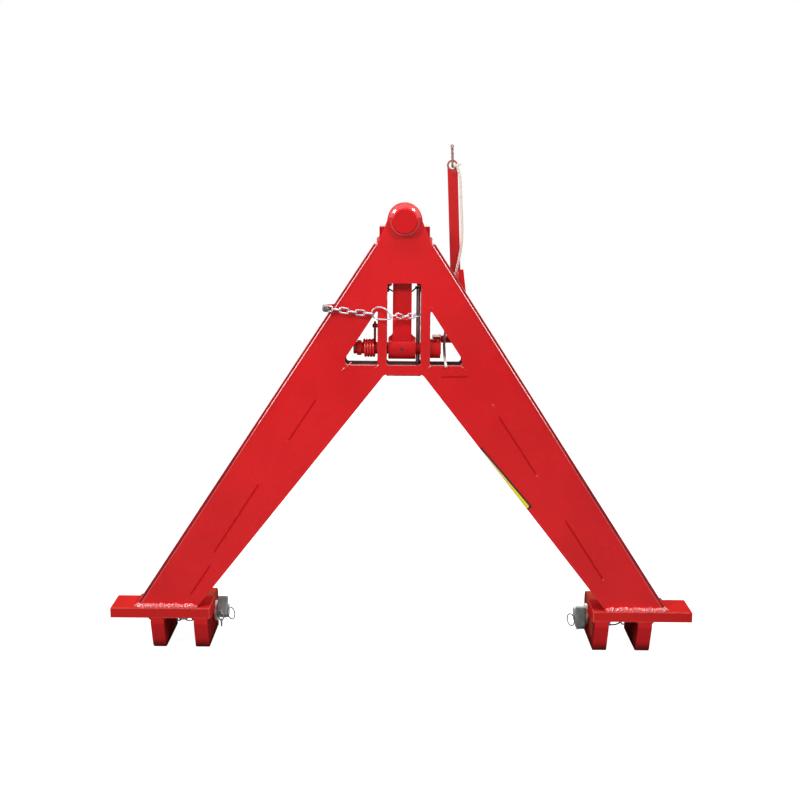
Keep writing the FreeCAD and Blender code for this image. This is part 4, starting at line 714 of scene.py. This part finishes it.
# %% Welds of the tower
BOSS, NOSE_Z = 24.75, 754.0
LUG_SPAN, LUG_SIDES = (626, 722), ((28.4, -1), (48.4, 1))
BEARING_SPAN, BEARING_SIDES = (486, 636), ((35, -1), (47, 1))
cosine, sine = circle(240)
outwards = np.stack([cosine, 0 * cosine, sine], axis=-1)
rim = spot(BOSS * cosine, 0, NOSE_Z + BOSS * sine)
high = 0.30 + 0.70 / (1 + np.exp(-7 * (outwards[:, 2:] - 0.1)))
tower_welds = [bead(rim, outwards * high, FORWARD * 0.50 * high, 71, "nose", ring=True)]
for side in (-1, 1):
    for x, away in LUG_SIDES:
        foot = straight(*((side * x, DEPTH, z) for z in LUG_SPAN))
        tower_welds.append(bead(foot, RIGHT * side * away, REARWARD, 75 + side + int(x), "lug"))
    for x, away in BEARING_SIDES:
        for y, face in ((PLATE, REARWARD), (DEPTH - PLATE, FORWARD)):
            foot = straight(*((side * x, y, z) for z in BEARING_SPAN))
            tower_welds.append(bead(foot, RIGHT * side * away, face, 81 + side + x, "bearing"))
guard_side = straight((103, DEPTH, 577), (104, DEPTH, 656))
tower_welds.append(bead(guard_side, -RIGHT, REARWARD, 97, "guard"))
piece("tower_welds", tower_welds, "frame", weld_red)

# %% [markdown]
# On the front of each leg, rows of plug welds hold the web behind the plate.
# Ground nearly flush and painted, they read as thin broken lines. Small tacks
# beside them were left proud, and glint.

# %% Stitch welds on the plates


def flush_weld(tips, wide, proud, seed):
    """Low weld on the front plate between two tips (x, z, x, z): half an ellipse
    across, rounded at its ends. Its width wanders by a quarter and its height
    by a half. Its edges are sunk a little."""
    x0, z0, x1, z1 = tips
    path = straight((x0, 0, z0), (x1, 0, z1), every=0.5)
    run = path[-1] - path[0]
    s = np.linspace(0, np.linalg.norm(run) * 1000, len(path))[:, None]
    ends = np.sqrt(np.clip(np.minimum(s, s[-1] - s) / wide, 0, 1))
    turn = np.linspace(0, np.pi, 8)[None, :]
    half = wide / 2 * (1 + 0.25 * wander(s, seed, 17)) * ends * np.cos(turn)
    rise = proud * (1 + 0.5 * wander(s, seed + 3, 9)) * ends * np.sin(turn) - SUNK
    return shell(path[:, None, :] + half[..., None] / 1000 * np.cross(unit(run), FORWARD)
                 + rise[..., None] / 1000 * FORWARD)


STITCHES = [(-166, 416, -220, 334), (-277, 249, -366, 111), (-373, 86, -413, 25),
            (181, 388, 257, 272), (315, 183, 393, 63), (71, 461, 123, 462)]
TACKS = [(170, 409, 174, 403), (-221, 333, -219, 336), (392, 64, 394, 60),
         (257.5, 271.5, 260, 267), (-108, 478, -98, 488), (-118, 471, -110, 477),
         (-54, 476, -46, 484), (46, 476, 52, 482), (106, 484, 114, 477),
         (117, 476, 119, 474), (46, 592, 48, 594), (52, 591, 53, 593)]
stitches = [flush_weld(tips, 4.0, 0.35, 101 + n) for n, tips in enumerate(STITCHES)]
piece("stitch_welds", stitches, "frame", seam_red)
tacks = [flush_weld(tips, 2.6, 1.2, 121 + n) for n, tips in enumerate(TACKS)]
piece("tack_welds", tacks, "frame", weld_red)

# %% [markdown]
# The release lever's own weld moves with it: a ring where the cross stub meets
# the tall bar.

# %% Welds of the lever
STUB_Y, STUB_Z, STUB = 97, 521, 7.5
cosine, sine = circle(120)
stub_rim = spot(70, STUB_Y + STUB * cosine, STUB_Z + STUB * sine)
stub_out = np.stack([0 * cosine, cosine, sine], axis=-1)
piece("lever_welds", [bead(stub_rim, stub_out, RIGHT, 131, "stub", ring=True)], "latch_unit",
      weld_red)

# %% [markdown]
# The latch tongue grows out of its hub in hollow shoulders. Each is a fillet on
# the round of the hub against the side of the tongue, drawn in rather than out.

# %% Shoulders of the latch
SHAFT_Y, SHAFT_Z, HUB = 28.0, 512.0, 21.0
TONGUE_SIDES = ((-21.5, -1.0), (14.5, 1.0))
climb = np.radians(np.linspace(46, 138, 90))
hub_out = np.stack([0 * climb, np.cos(climb), np.sin(climb)], axis=-1)
shoulders = []
for x, away in TONGUE_SIDES:
    root = spot(x, SHAFT_Y + HUB * hub_out[:, 1], SHAFT_Z + HUB * hub_out[:, 2])
    shoulders.append(bead(root, RIGHT * away, hub_out, 141 + int(x), "hollow"))
piece("latch_shoulders", shoulders, "latch_unit", cast_red)

# %% [markdown]
# ## Chains
# A link is a round wire bent to two straights and two bows. Its centre line is
# a stadium, and the butt weld in one straight makes it a little thicker there.

# %% Chain links
SWELL = 0.22


def stadium(centre, along, across, wire, bend, half):
    """Ring of wire with two straights of 2 half and two bows of radius bend. With
    the way s along it, the line turns on the bows and shifts on the straights:
    u = shift + bend sin(turned), v = bend cos(turned)."""
    arc = np.pi * bend
    s = np.linspace(0, 4 * half + 2 * arc, 40, endpoint=False)
    turned = (np.clip(s - 2 * half, 0, arc) + np.clip(s - 4 * half - arc, 0, arc)) / bend
    shift = np.clip(s, 0, 2 * half) - np.clip(s - 2 * half - arc, 0, 2 * half) - half
    u, v = shift + bend * np.sin(turned), bend * np.cos(turned)
    path = np.asarray(centre) + (u[:, None] * along + v[:, None] * across) / 1000
    swell = 1 + SWELL * np.exp(-((s - half) / (wire * 0.55)) ** 2)
    return tube(path, wire / 2000 * swell, ring=True, up=np.cross(along, across))


def chain(start, steps, wire, wide, gap, pitch, sides):
    """Links hooked into each other; each step gives the heading of one link."""
    links, place = [], np.asarray(start, float)
    bend = (wide - wire) / 2
    half = pitch / 2 + (wire + gap) / 2 - bend
    for number, step in enumerate(steps):
        along = unit(step)
        across = unit(np.cross(sides[number % 2], along))
        links.append(stadium(place + along * pitch / 2000, along, across, wire, bend, half))
        place = place + along * pitch / 1000
    return links, place


# %% [markdown]
# The long chain hangs from a bolt on the left leg. Each step is the heading of
# one link, and links face forwards and upwards by turns.

# %% Long chain
LONG_STEPS = [(1, 0, -0.04), (1, 0, -0.10), (1, 0, -0.16), (1, 0.01, -0.13), (1, 0, -0.08),
              (1, 0, -0.05)]
SHORT_STEPS = [(1, 0.10, 0.24), (1, 0.16, -0.34), (1, 0.18, 0.20), (1, 0.14, -0.05)]
LONG, SHORT, LONG_PITCH, SHORT_PITCH = (3.2, 12.6, 0.2), (2.5, 10.4, 0.6), 15.2, 11.9
long_links, long_end = chain(spot(-150.28, -8, 590), LONG_STEPS, *LONG, LONG_PITCH,
                             (REARWARD, UP))
piece("long_chain_links", long_links, "frame", chain_zinc, ["safety_chain"])

# %% [markdown]
# The hoop between the two chains and the long eye round the safety pin are bent
# from one wire each. A bent wire is a smooth line through a few points, read
# from a spline, with a tube along it.

# %% Smooth lines through points


def smooth_line(points, ring=False, fine=12):
    """Points along a NURBS spline that has the given points as its controls."""
    curve = bpy.data.curves.new("route", "CURVE")
    curve.dimensions = "3D"
    spline = curve.splines.new("NURBS")
    spline.points.add(len(points) - 1)
    spline.points.foreach_set("co", np.c_[points, np.ones(len(points))].ravel())
    spline.order_u = 3
    spline.use_endpoint_u = not ring
    spline.use_cyclic_u = ring
    spline.resolution_u = fine
    holder = bpy.data.objects.new("route", curve)
    mesh = bpy.data.meshes.new_from_object(holder)
    line = np.empty(len(mesh.vertices) * 3)
    mesh.vertices.foreach_get("co", line)
    bpy.data.objects.remove(holder)
    bpy.data.meshes.remove(mesh)
    return line.reshape(-1, 3)


# %% [markdown]
# The hoop hangs in the long chain's last link. The short chain leads on from its
# far corner to the eye round the safety pin.

# %% Hoop, short chain and the eye round the pin
HOOP_WIRE, EYE_WIRE, EYE_BEND = 2.8, 2.2, 5.7
HOOP_INSET, HOOP_FAR, HOOP_DOWN = 2.1, 38.6, 5.4
HOOP = np.array([(0, 0), (7, 10.5), (19.5, 12.5), (30, 8), (40.3, -7), (34.8, -11.5), (9, -11)])
corner = long_end - RIGHT * (HOOP_WIRE / 2 + HOOP_INSET) / 1000
hoop_points = corner + np.stack([HOOP[:, 0], np.zeros(7), HOOP[:, 1]], axis=-1) / 1000
hoop_line = smooth_line(hoop_points, ring=True)
piece("hoop_wire", [tube(hoop_line, HOOP_WIRE / 2000, ring=True, up=REARWARD)], "frame",
      chain_zinc, ["wire_hoop"])
short_start = corner + np.array([HOOP_FAR - HOOP_WIRE / 2, 0, -HOOP_DOWN]) / 1000
short_links, short_end = chain(short_start, SHORT_STEPS, *SHORT, SHORT_PITCH, (UP, REARWARD))
piece("short_chain_links", short_links, "frame", chain_zinc, ["short_chain"])

PIN_X, PIN_Y, PIN_TOP = 27.2, 44.4, 630.0
eye_front = short_end + np.array([0.003, -0.001, 0])
eye_back = np.array([*spot(PIN_X, PIN_Y, 0)[:2], short_end[2]])
eye_along = unit(eye_back - eye_front)
eye_half = np.linalg.norm(eye_back - eye_front) * 500
pin_eye = stadium((eye_front + eye_back) / 2, eye_along, np.cross(UP, eye_along), EYE_WIRE,
                  EYE_BEND, eye_half)
piece("pin_eye_wire", [pin_eye], "frame", zinc, ["pin_eye"])

# %% [markdown]
# The chain's first link hangs on a small hexagon bolt. A hexagon is a lathe
# profile with six sides; the chamfered corners come from a short cone. The
# bolt's parts follow each other rearwards along one axis.

# %% Chain bolt
BOLT_X, BOLT_Z, HEX = -147.68, 590.0, 6.5
BOLT_PARTS = [
    (-13.9, 6, [(0, 0), (0, 4.9), (0.7, HEX), (4.0, HEX), (4.0, 0)]),
    (-6.1, 36, [(0, 0), (0, 6.0), (0.3, HEX), (2.2, HEX), (2.4, 6.2), (2.6, HEX), (4.6, HEX),
                (4.8, 6.2), (5.0, HEX), (7.1, HEX), (7.1, 0)]),
    (7, 6, [(0, 0), (0, HEX), (4.3, HEX), (5.0, 4.9), (5.0, 0)]),
    (-10.1, 20, [(0, 0), (0, 2.5), (16.5, 2.5), (17.0, 2.0), (17.0, 0)]),
    (7.2, 20, [(0, 0), (0, 2.5), (5.6, 2.5), (6.0, 2.1), (6.0, 0)])]
bolt_parts = [lathe(profile, spot(BOLT_X, y, BOLT_Z), REARWARD, sides)
              for y, sides, profile in BOLT_PARTS]
piece("chain_bolt_parts", bolt_parts, "frame", foot_zinc, ["chain_bolt"], 25)

# %% [markdown]
# The link pins are kept by linchpins. Each has a spring ring in its cast head.
# The left linchpin is turned up round its link pin and the right one lies level,
# so a helper turns their places as the source of the solids does.

# %% Linchpin rings
LINCH_X, RING, RING_WIRE = 362.0, 12.0, 2.4
HEAD_HALF, RING_FORWARD, RING_DROP, RING_LEAN = 10, 20.3, 10, math.radians(30)
PIN_AXIS_Y, PIN_AXIS_Z = 100, -40
TILT = {-1: math.radians(42), 1: 0.0}


def at_linchpin(side, forward, up, x=LINCH_X):
    """Place measured from the link pin's axis, forwards and up along the shank."""
    c, s = math.cos(TILT[side]), math.sin(TILT[side])
    return spot(side * np.asarray(x), PIN_AXIS_Y - np.multiply(forward, c) + np.multiply(up, s),
                PIN_AXIS_Z + np.multiply(forward, s) + np.multiply(up, c))


cosine, sine = circle(72)
out = RING * (1 - cosine)
inwards = LINCH_X - HEAD_HALF - 0.3 - RING_WIRE / 2 - out * math.sin(RING_LEAN)
forward = RING_FORWARD - out * math.cos(RING_LEAN)
for name, side in (("left", -1), ("right", 1)):
    path = at_linchpin(side, forward, RING * sine - RING_DROP, inwards)
    piece(f"{name}_ring_wire", [tube(path, RING_WIRE / 2000, ring=True, up=RIGHT)],
          f"{name}_ring", ring_steel, [f"{name}_linchpin_ring"])

# %% [markdown]
# Short chains and coated wires keep the pins from getting lost. One chain hangs
# from the left linchpin and one spans the left clevis.

# %% Small chains at the left foot
EYE_RING, FIRST_LINK = 0.004, 0.00355
cosine, sine = circle(40)
eye_spot = at_linchpin(-1, 31.7, -17.5)
eye_ring = eye_spot + np.stack([0 * cosine, cosine, sine], -1) * EYE_RING
hang = chain(eye_spot - UP * FIRST_LINK, [(0, 0, -1), (0.06, 0, -1)], *SHORT, SHORT_PITCH,
             (REARWARD, RIGHT))[0]
piece("left_linch_links", [tube(eye_ring, EYE_WIRE / 2000, 10, ring=True, up=RIGHT)] + hang,
      "left_linch", foot_zinc, ["left_linch_chain"])
CLEVIS_NEAR, CLEVIS_FAR, TIE_Y, TIE_Z = 406.5, 463.5, 122.0, -66.0
HOOK = 9.4
span = CLEVIS_FAR - CLEVIS_NEAR - 2 * HOOK
across_links = chain(spot(-CLEVIS_FAR + HOOK, TIE_Y, TIE_Z), [(1, 0, 0)] * 3, *SHORT,
                     span / 3, (UP, REARWARD))[0]
piece("left_clevis_links", across_links, "frame", foot_zinc, ["left_ear_chain"])

# %% [markdown]
# On the right a black coated wire does the same work, with a crimped sleeve at
# its end. A second wire end sticks out of the right linchpin's sleeve.

# %% Coated wires at the right foot
COATED = 0.0015
SAG = np.array([(13.4, 0.4), (18, 3), (24, 5), (32, 5.5), (38.5, 3.5), (43.6, 0.4)])
sag_line = smooth_line(spot(CLEVIS_NEAR + SAG[:, 0], TIE_Y, TIE_Z - SAG[:, 1]))
piece("right_clevis_wire", [tube(sag_line, COATED, up=REARWARD)], "frame",
      black_rubber, ["right_wire"])
sleeve_profile = [(0, 0), (0, 2.0), (0.4, 2.5), (7.6, 2.5), (8, 2.0), (8, 0)]
sleeve = lathe(sleeve_profile, spot(CLEVIS_NEAR + 17, TIE_Y, TIE_Z - 3.1), (1, 0, -0.33), 24)
piece("right_clevis_sleeve", [sleeve], "frame", zinc)
WIRE_Y, WIRE_Z = 79.7, -64.2
TAIL = np.array([(-1, 0, 0), (7, 0, -0.2), (11, 1, 1), (14.5, 3.5, 3.2)])
tail_line = smooth_line(spot(*(TAIL + (LINCH_X, WIRE_Y, WIRE_Z)).T))
piece("right_linch_tail", [tube(tail_line, COATED, up=REARWARD)], "right_linch",
      black_rubber, ["right_linch_wire"])
crimp_profile = [(0, 0), (0, 2.2), (0.4, 2.6), (3.2, 2.5), (4.0, 2.1), (4.8, 2.5), (7.6, 2.6),
                 (8, 2.2), (8, 0)]
crimp = lathe(crimp_profile, spot(LINCH_X - 8, WIRE_Y, WIRE_Z), RIGHT, 24)
piece("right_linch_crimp", [crimp], "right_linch", zinc)

# %% [markdown]
# The torsion spring is one wire: four turns round the shaft, and one end left
# standing as a leg that leans on its stop. A helix is a circle whose place along
# the axis grows with the angle, so one tube makes leg and coil together.

# %% Torsion spring
COIL, COIL_PITCH, COIL_WIRE, COIL_RIGHT = 15.5, 5.2, 5.0, -55.5
turns = np.linspace(0, 8 * np.pi, 260)
coil_path = spot(COIL_RIGHT - COIL_PITCH * turns / (2 * np.pi), SHAFT_Y + COIL * np.cos(turns),
                 SHAFT_Z - COIL * np.sin(turns))
leg_path = spot(COIL_RIGHT, SHAFT_Y + COIL, np.linspace(560, 513, 40))
spring = tube(np.vstack([leg_path, coil_path]), COIL_WIRE / 2000, 14, up=RIGHT)
piece("spring_wire", [spring], "frame", spring_red, ["torsion_spring"])

# %% [markdown]
# The shaft's left end is kept by a rolled spring pin: a tube of blue-black steel
# a little longer than the shaft is thick.

# %% Spring pin in the shaft
PIN_LONG, PIN_ROUND, PIN_BORE, CHAMFER = 24.0, 2.9, 1.8, 0.4
half_roll = [(0.6, 0), (0.6, PIN_BORE), (0, PIN_BORE), (0, PIN_ROUND - CHAMFER),
             (CHAMFER, PIN_ROUND)]
roll = half_roll + [(PIN_LONG - along, radius) for along, radius in half_roll[::-1]]
roll_pin = lathe(roll, spot(-92.5, SHAFT_Y - PIN_LONG / 2, SHAFT_Z), REARWARD, 28)
piece("shaft_roll_pin", [roll_pin], "latch_unit", black_steel)

# %% [markdown]
# ## Ropes and cords
# The pull rope is laid from three strands. The strands wind round the rope's
# own line, which follows the route that the solids give it. The twisted loop in
# the lever's eye is made the same way.

# %% Laid rope


def even(line, every):
    """The same line with points evenly spaced, every so many metres."""
    steps = np.linalg.norm(np.diff(line, axis=0), axis=1)
    s = np.concatenate([[0], np.cumsum(steps)])
    at = np.linspace(0, s[-1], max(4, int(s[-1] / every)))
    return np.stack([np.interp(at, s, line[:, k]) for k in range(3)], axis=-1), at


def strands(line, thick, lay, count=3, every=0.0016, up=(1, 0, 0), ring=False):
    """Strands that wind round a line: line + r (cos a side + sin a lift), with
    a turning once in every lay, each strand a part of a turn behind the last."""
    path, s = even(np.vstack([line, line[:1]]) if ring else line, every)
    if ring:
        lay = s[-1] / round(s[-1] / lay)
        path, s = path[:-1], s[:-1]
    heading, side, lift = frames(path, ring, up)
    twist = thick * (0.5 if count == 2 else 0.46)
    made = []
    for number in range(count):
        a = 2 * np.pi * (s / lay + number / count)
        offset = np.cos(a)[:, None] * side + np.sin(a)[:, None] * lift
        made.append(tube(path + offset * twist / 2, thick * 0.29, 8, ring, up))
    return made


# %% [markdown]
# The pull rope leaves the lever's eye, hangs beside the lever and ends in the
# right leg's window. Its line also goes into the model as a cord.

# %% Pull rope
ROPE, ROPE_Y = 0.0055, 78.45
ROUTE = [(98, 0, 858), (105, 0, 838), (106.5, 0, 805), (108.5, 0, 768), (110.5, 0, 735),
         (109.5, 0, 704), (104.5, 1, 676), (98.5, 1, 650), (95, 0, 620), (92, 0, 590),
         (87, 0, 562), (81, 4, 541), (78, 14, 525), (78, 32, 506), (78.5, 54, 495),
         (79, 60.45, 489.5), (79.5, 78.45, 487.5), (80, 83.45, 481.5)]
route_x, ahead, route_z = np.array(ROUTE).T
rope_line = smooth_line(spot(route_x, ROPE_Y - ahead, route_z))
rope = piece("pull_rope_strands", strands(rope_line, ROPE, 0.022), "latch_unit",
             rope_fibre, ["pull_rope"])

# %% [markdown]
# A short twisted cord is tied through the lever's eye: a loop round the bar, a
# stem above it and a tiny knotted eye at the tip. The pull rope is hitched
# beside it.

# %% Cord in the lever's eye
EYE_X, EYE_Y, EYE_Z = 90.0, 85.5, 857.0
CORD, STEM = 0.0042, 0.0052
LOOP = np.array([(-6.4, -3.0), (-7.4, 9.0), (-2.0, 24.0), (2.0, 24.0), (7.4, 9.0), (6.4, -3.0)])
loop_line = smooth_line(spot(EYE_X, EYE_Y + LOOP[:, 0], EYE_Z + LOOP[:, 1]), ring=True)
stem_line = spot(EYE_X - np.linspace(0, 1, 50), EYE_Y, EYE_Z + np.linspace(14.0, 33.0, 50))
cosine, sine = circle(32)
tip_line = spot(EYE_X - 1 + 2.2 * cosine, EYE_Y, EYE_Z + 35.8 + 2.2 * sine)
eye_cord = (strands(loop_line, CORD, 0.009, 2, 0.0010, ring=True)
            + strands(stem_line, STEM, 0.016, 2, 0.0006, REARWARD)
            + [tube(tip_line, 0.0011, 8, ring=True, up=REARWARD)])
piece("eye_cord_strands", eye_cord, "latch_unit", loop_fibre, ["eye_loop"])
cosine, sine = circle(60)
hitch_line = spot(EYE_X + 9 + 5.3 * cosine, EYE_Y + 7.3 * sine, EYE_Z + 3 * cosine)
piece("rope_hitch", strands(hitch_line, ROPE, 0.012, every=0.0012, up=UP, ring=True),
      "latch_unit", rope_fibre)

# %% [markdown]
# The safety pin hangs on a black tether. It is tied to the left bearing plate and
# takes a turn and a half round the pin. Between them a band lies round the latch
# tongue and turns with it.

# %% Black tether
TETHER, WRAP = 0.0015, 5.5
LEVEL_Z, LEVEL_Y = PIN_TOP - 11, 47.0
wraps = np.linspace(np.pi, 4.2 * np.pi, 90)
wrap_line = spot(PIN_X + WRAP * np.cos(wraps), PIN_Y + WRAP * np.sin(wraps),
                 LEVEL_Z + 6 + 0.42 * (wraps - np.pi))
reach_line = smooth_line(spot([15.5, 17.0, 19.4, 21.7], [47.0, 47.3, 47.0, 44.6],
                              [LEVEL_Z, LEVEL_Z + 1.4, LEVEL_Z + 3.6, LEVEL_Z + 6]))
left_line = smooth_line(spot([-34.4, -27.8, -22.5], LEVEL_Y,
                             [LEVEL_Z + 7, LEVEL_Z + 3, LEVEL_Z]))
piece("tether_cord", [tube(left_line, TETHER, up=REARWARD),
                      tube(np.vstack([reach_line[:-1], wrap_line]), TETHER)],
      "frame", black_rubber, ["pin_tether"])
band_line = smooth_line(spot([-21.8, -9.8, 2.8, 14.8], [47, 45, 45, 47],
                             [LEVEL_Z, LEVEL_Z - 2, LEVEL_Z - 2, LEVEL_Z]))
piece("tether_band_cord", [tube(band_line, TETHER, up=REARWARD)], "latch_unit",
      black_rubber, ["tether_band"])

# %% [markdown]
# ## Label
# A yellow label with a black rim sits low on the inner edge of the right leg.
# It was stuck on a little askew and the plate's edge cuts it. It is left blank.
# Its sheet is a thin slab, and its UV map holds millimetres from the rim.

# %% Sheet of the label
LABEL_LOW, LABEL_HIGH = np.array([250.6, 209.0]), np.array([150.6, 325.5])
LABEL_ROUND, LABEL_LIFT, SHEET, SHY = 1.2, 0.05, 0.16, 1.2
down = unit(LABEL_LOW - LABEL_HIGH)
inward = np.array([down[1], -down[0]])


def label_sheet():
    """Rows climb the strip and columns cross it: right rim + t inward, with t
    from the rim to a line just shy of the plate's edge. Near the foot the rim
    draws back along a quarter circle. The back repeats the front, a sheet's
    thickness behind it, so that the slab is closed."""
    up_it = np.linalg.norm(LABEL_LOW - LABEL_HIGH) * np.linspace(0, 1, 90) ** 1.6
    rim = LABEL_LOW - up_it[:, None] * down
    full = (rim[:, 0] - inner_x(rim[:, 1]) - SHY) / -(inward[0] + INNER_LEAN * inward[1])
    short = np.clip(LABEL_ROUND - up_it, 0, None)
    drawn = LABEL_ROUND - np.sqrt(np.clip(LABEL_ROUND ** 2 - short ** 2, 0, None))
    t = drawn[:, None] + (full - drawn)[:, None] * np.linspace(0, 1, 12)[None, :]
    flat = rim[:, None, :] + t[..., None] * inward
    front, back = (spot(flat[..., 0], y, flat[..., 1]) for y in (-LABEL_LIFT - SHEET, -LABEL_LIFT))
    loop = np.concatenate([front, back[:, ::-1]], axis=1)
    foot, head = (row.mean(axis=1, keepdims=True).repeat(24, axis=1)
                  for row in (loop[:1], loop[-1:]))
    return shell(np.concatenate([foot, loop, head]))


# %% [markdown]
# The film's colours follow two distances in millimetres, one from the rim and
# one from the foot of the label. The UV map carries both.

# %% Film of the label
RIM, CORNER = 3.3, 3.6
BLACK, YELLOW = (0.010, 0.008, 0.008), (0.72, 0.62, 0.020)
FADED, DUSTY = (0.80, 0.66, 0.32), (0.30, 0.24, 0.05)


def label_finish():
    """Yellow film with a black rim, faded towards its top, dusty and scuffed.
    The yellow's corner is a quarter circle: how far both distances fall short
    of the rim and the corner's radius, squared and added, tells which side."""
    material, tree, shader, where = new_material("label_film")
    rule = add(tree, "ShaderNodeUVMap", {"uv_map": "millimetres"}).outputs[0]
    from_rim, from_foot = add(tree, "ShaderNodeSeparateXYZ", {}, {0: rule}).outputs[:2]
    short = [maths(tree, "MAXIMUM", maths(tree, "SUBTRACT", RIM + CORNER, way), 0.0)
             for way in (from_rim, from_foot)]
    away = maths(tree, "SQRT", times(tree, short[0], short[0], times(tree, short[1], short[1])))
    ragged = times(tree, noise(tree, where, 900.0, 2.0, 0.5), 0.5, -0.25)
    nearest = maths(tree, "ADD", maths(tree, "SUBTRACT", CORNER, away), ragged)
    yellow = blend(tree, ramp(tree, from_foot, 40.0, 150.0), YELLOW, FADED)
    dirt = times(tree, ramp(tree, noise(tree, where, 80.0, 5.0, 0.65), 0.5, 0.72), 0.35)
    yellow = blend(tree, dirt, yellow, DUSTY)
    color = blend(tree, ramp(tree, nearest, -0.15, 0.15), BLACK, yellow)
    roughness = times(tree, noise(tree, where, 60.0, 3.0, 0.5), 0.25, 0.22)
    finish_shader(tree, shader, color, roughness, noise(tree, where, 500.0, 2.0, 0.5), 0.00003,
                  Specular_IOR_Level=0.4)
    return material


# %% [markdown]
# The sheet and its film come together, and the UV map is written: each corner's
# way from the label's low corner, measured inwards and upwards.

# %% Label on the leg
label = piece("blank_label", [label_sheet()], "frame", label_finish())
uv_layer = label.data.uv_layers.new(name="millimetres")
corners = np.empty(len(label.data.vertices) * 3)
label.data.vertices.foreach_get("co", corners)
corners = corners.reshape(-1, 3) * 1000 - spot(0, 0, 0) * 1000
from_corner = corners[:, [0, 2]] - LABEL_LOW
rule = np.stack([from_corner @ inward, from_corner @ -down], axis=-1)
vertex_of = np.empty(len(label.data.loops), int)
label.data.loops.foreach_get("vertex_index", vertex_of)
uv_layer.data.foreach_set("uv", rule[vertex_of].ravel())
print("label:", round(float(rule[:, 1].max())), "mm long")

# %% [markdown]
# ## Light, floor and background
# A plain studio. The world looks white to the camera and in reflections, but
# lights the object only a little.

# %% World
AMBIENT, WHITE = 0.36, (1, 1, 1)
world = bpy.data.worlds.new("studio")
bpy.context.scene.world = world
world.use_nodes = True
tree = world.node_tree
tree.nodes.clear()
rays = add(tree, "ShaderNodeLightPath").outputs
seen = maths(tree, "MAXIMUM", rays["Is Camera Ray"],
             maths(tree, "MAXIMUM", rays["Is Glossy Ray"], rays["Is Transmission Ray"]))
strength = add(tree, "ShaderNodeMix", {"data_type": "FLOAT"}, {0: seen, 2: AMBIENT, 3: 1.0})
glow = add(tree, "ShaderNodeBackground", {}, {"Color": WHITE, "Strength": strength.outputs[0]})
add(tree, "ShaderNodeOutputWorld", {}, {"Surface": glow.outputs[0]})
print("world: white to look at,", AMBIENT, "as light")

# %% [markdown]
# The floor is grey paper that glows a little for the camera alone, so that it
# melts into the white and still catches a soft shadow.

# %% Floor
FLOOR_HALF, PAPER, FLOOR_GLOW = 9.0, (0.42, 0.42, 0.42), 0.93
floor_mesh = bpy.data.meshes.new("floor")
floor_mesh.from_pydata([(x * FLOOR_HALF, y * FLOOR_HALF, 0)
                        for x, y in ((-1, -1), (1, -1), (1, 1), (-1, 1))], [], [(0, 1, 2, 3)])
floor = bpy.data.objects.new("floor", floor_mesh)
bpy.context.scene.collection.objects.link(floor)
material = bpy.data.materials.new("floor")
material.use_nodes = True
tree = material.node_tree
tree.nodes.clear()
seen = add(tree, "ShaderNodeLightPath").outputs["Is Camera Ray"]
paper = add(tree, "ShaderNodeBsdfDiffuse", {}, {"Color": PAPER})
glow = add(tree, "ShaderNodeEmission", {}, {"Color": WHITE,
                                            "Strength": times(tree, seen, FLOOR_GLOW)})
both = add(tree, "ShaderNodeAddShader", {}, {0: paper.outputs[0], 1: glow.outputs[0]})
add(tree, "ShaderNodeOutputMaterial", {}, {"Surface": both.outputs[0]})
floor_mesh.materials.append(material)
print("floor:", 2 * FLOOR_HALF, "m wide")

# %% [markdown]
# A soft key high on each side lights the plates, and a long strip overhead draws
# the glints on the weld beads. A lamp far out on each side is mirrored in the
# long weld of each leg's upper half. One more lights the back.

# %% Lamps


def lamp(name, place, target, wide, tall, watts):
    """Rectangular soft lamp that shines at a point."""
    light = bpy.data.lights.new(name, "AREA")
    light.shape = "RECTANGLE"
    light.size, light.size_y = wide, tall
    light.energy = watts
    thing = bpy.data.objects.new(name, light)
    bpy.context.scene.collection.objects.link(thing)
    aim = Vector(target) - Vector(place)
    thing.matrix_world = (Matrix.Translation(place)
                          @ aim.to_track_quat("-Z", "Y").to_matrix().to_4x4())
    print(name, watts, "W")


lamp("left key", (-1.9, -2.3, 2.3), (0, 0, 0.75), 0.6, 0.6, 50)
lamp("right key", (1.5, -2.3, 2.6), (0, 0, 0.75), 0.5, 0.5, 35)
lamp("overhead", (0.0, -0.5, 2.6), (0, 0, 0.4), 2.4, 0.35, 34)
lamp("left side", (-2.4, 0.0, 1.75), (-0.25, 0, 0.65), 0.5, 0.9, 10)
lamp("right side", (2.4, 0.0, 1.75), (0.25, 0, 0.65), 0.5, 0.9, 10)
lamp("back", (0.5, 2.6, 2.0), (0, 0, 0.5), 1.6, 1.0, 36)

# %% [markdown]
# Colours are shown as they are.

bpy.context.scene.view_settings.view_transform = "Standard"
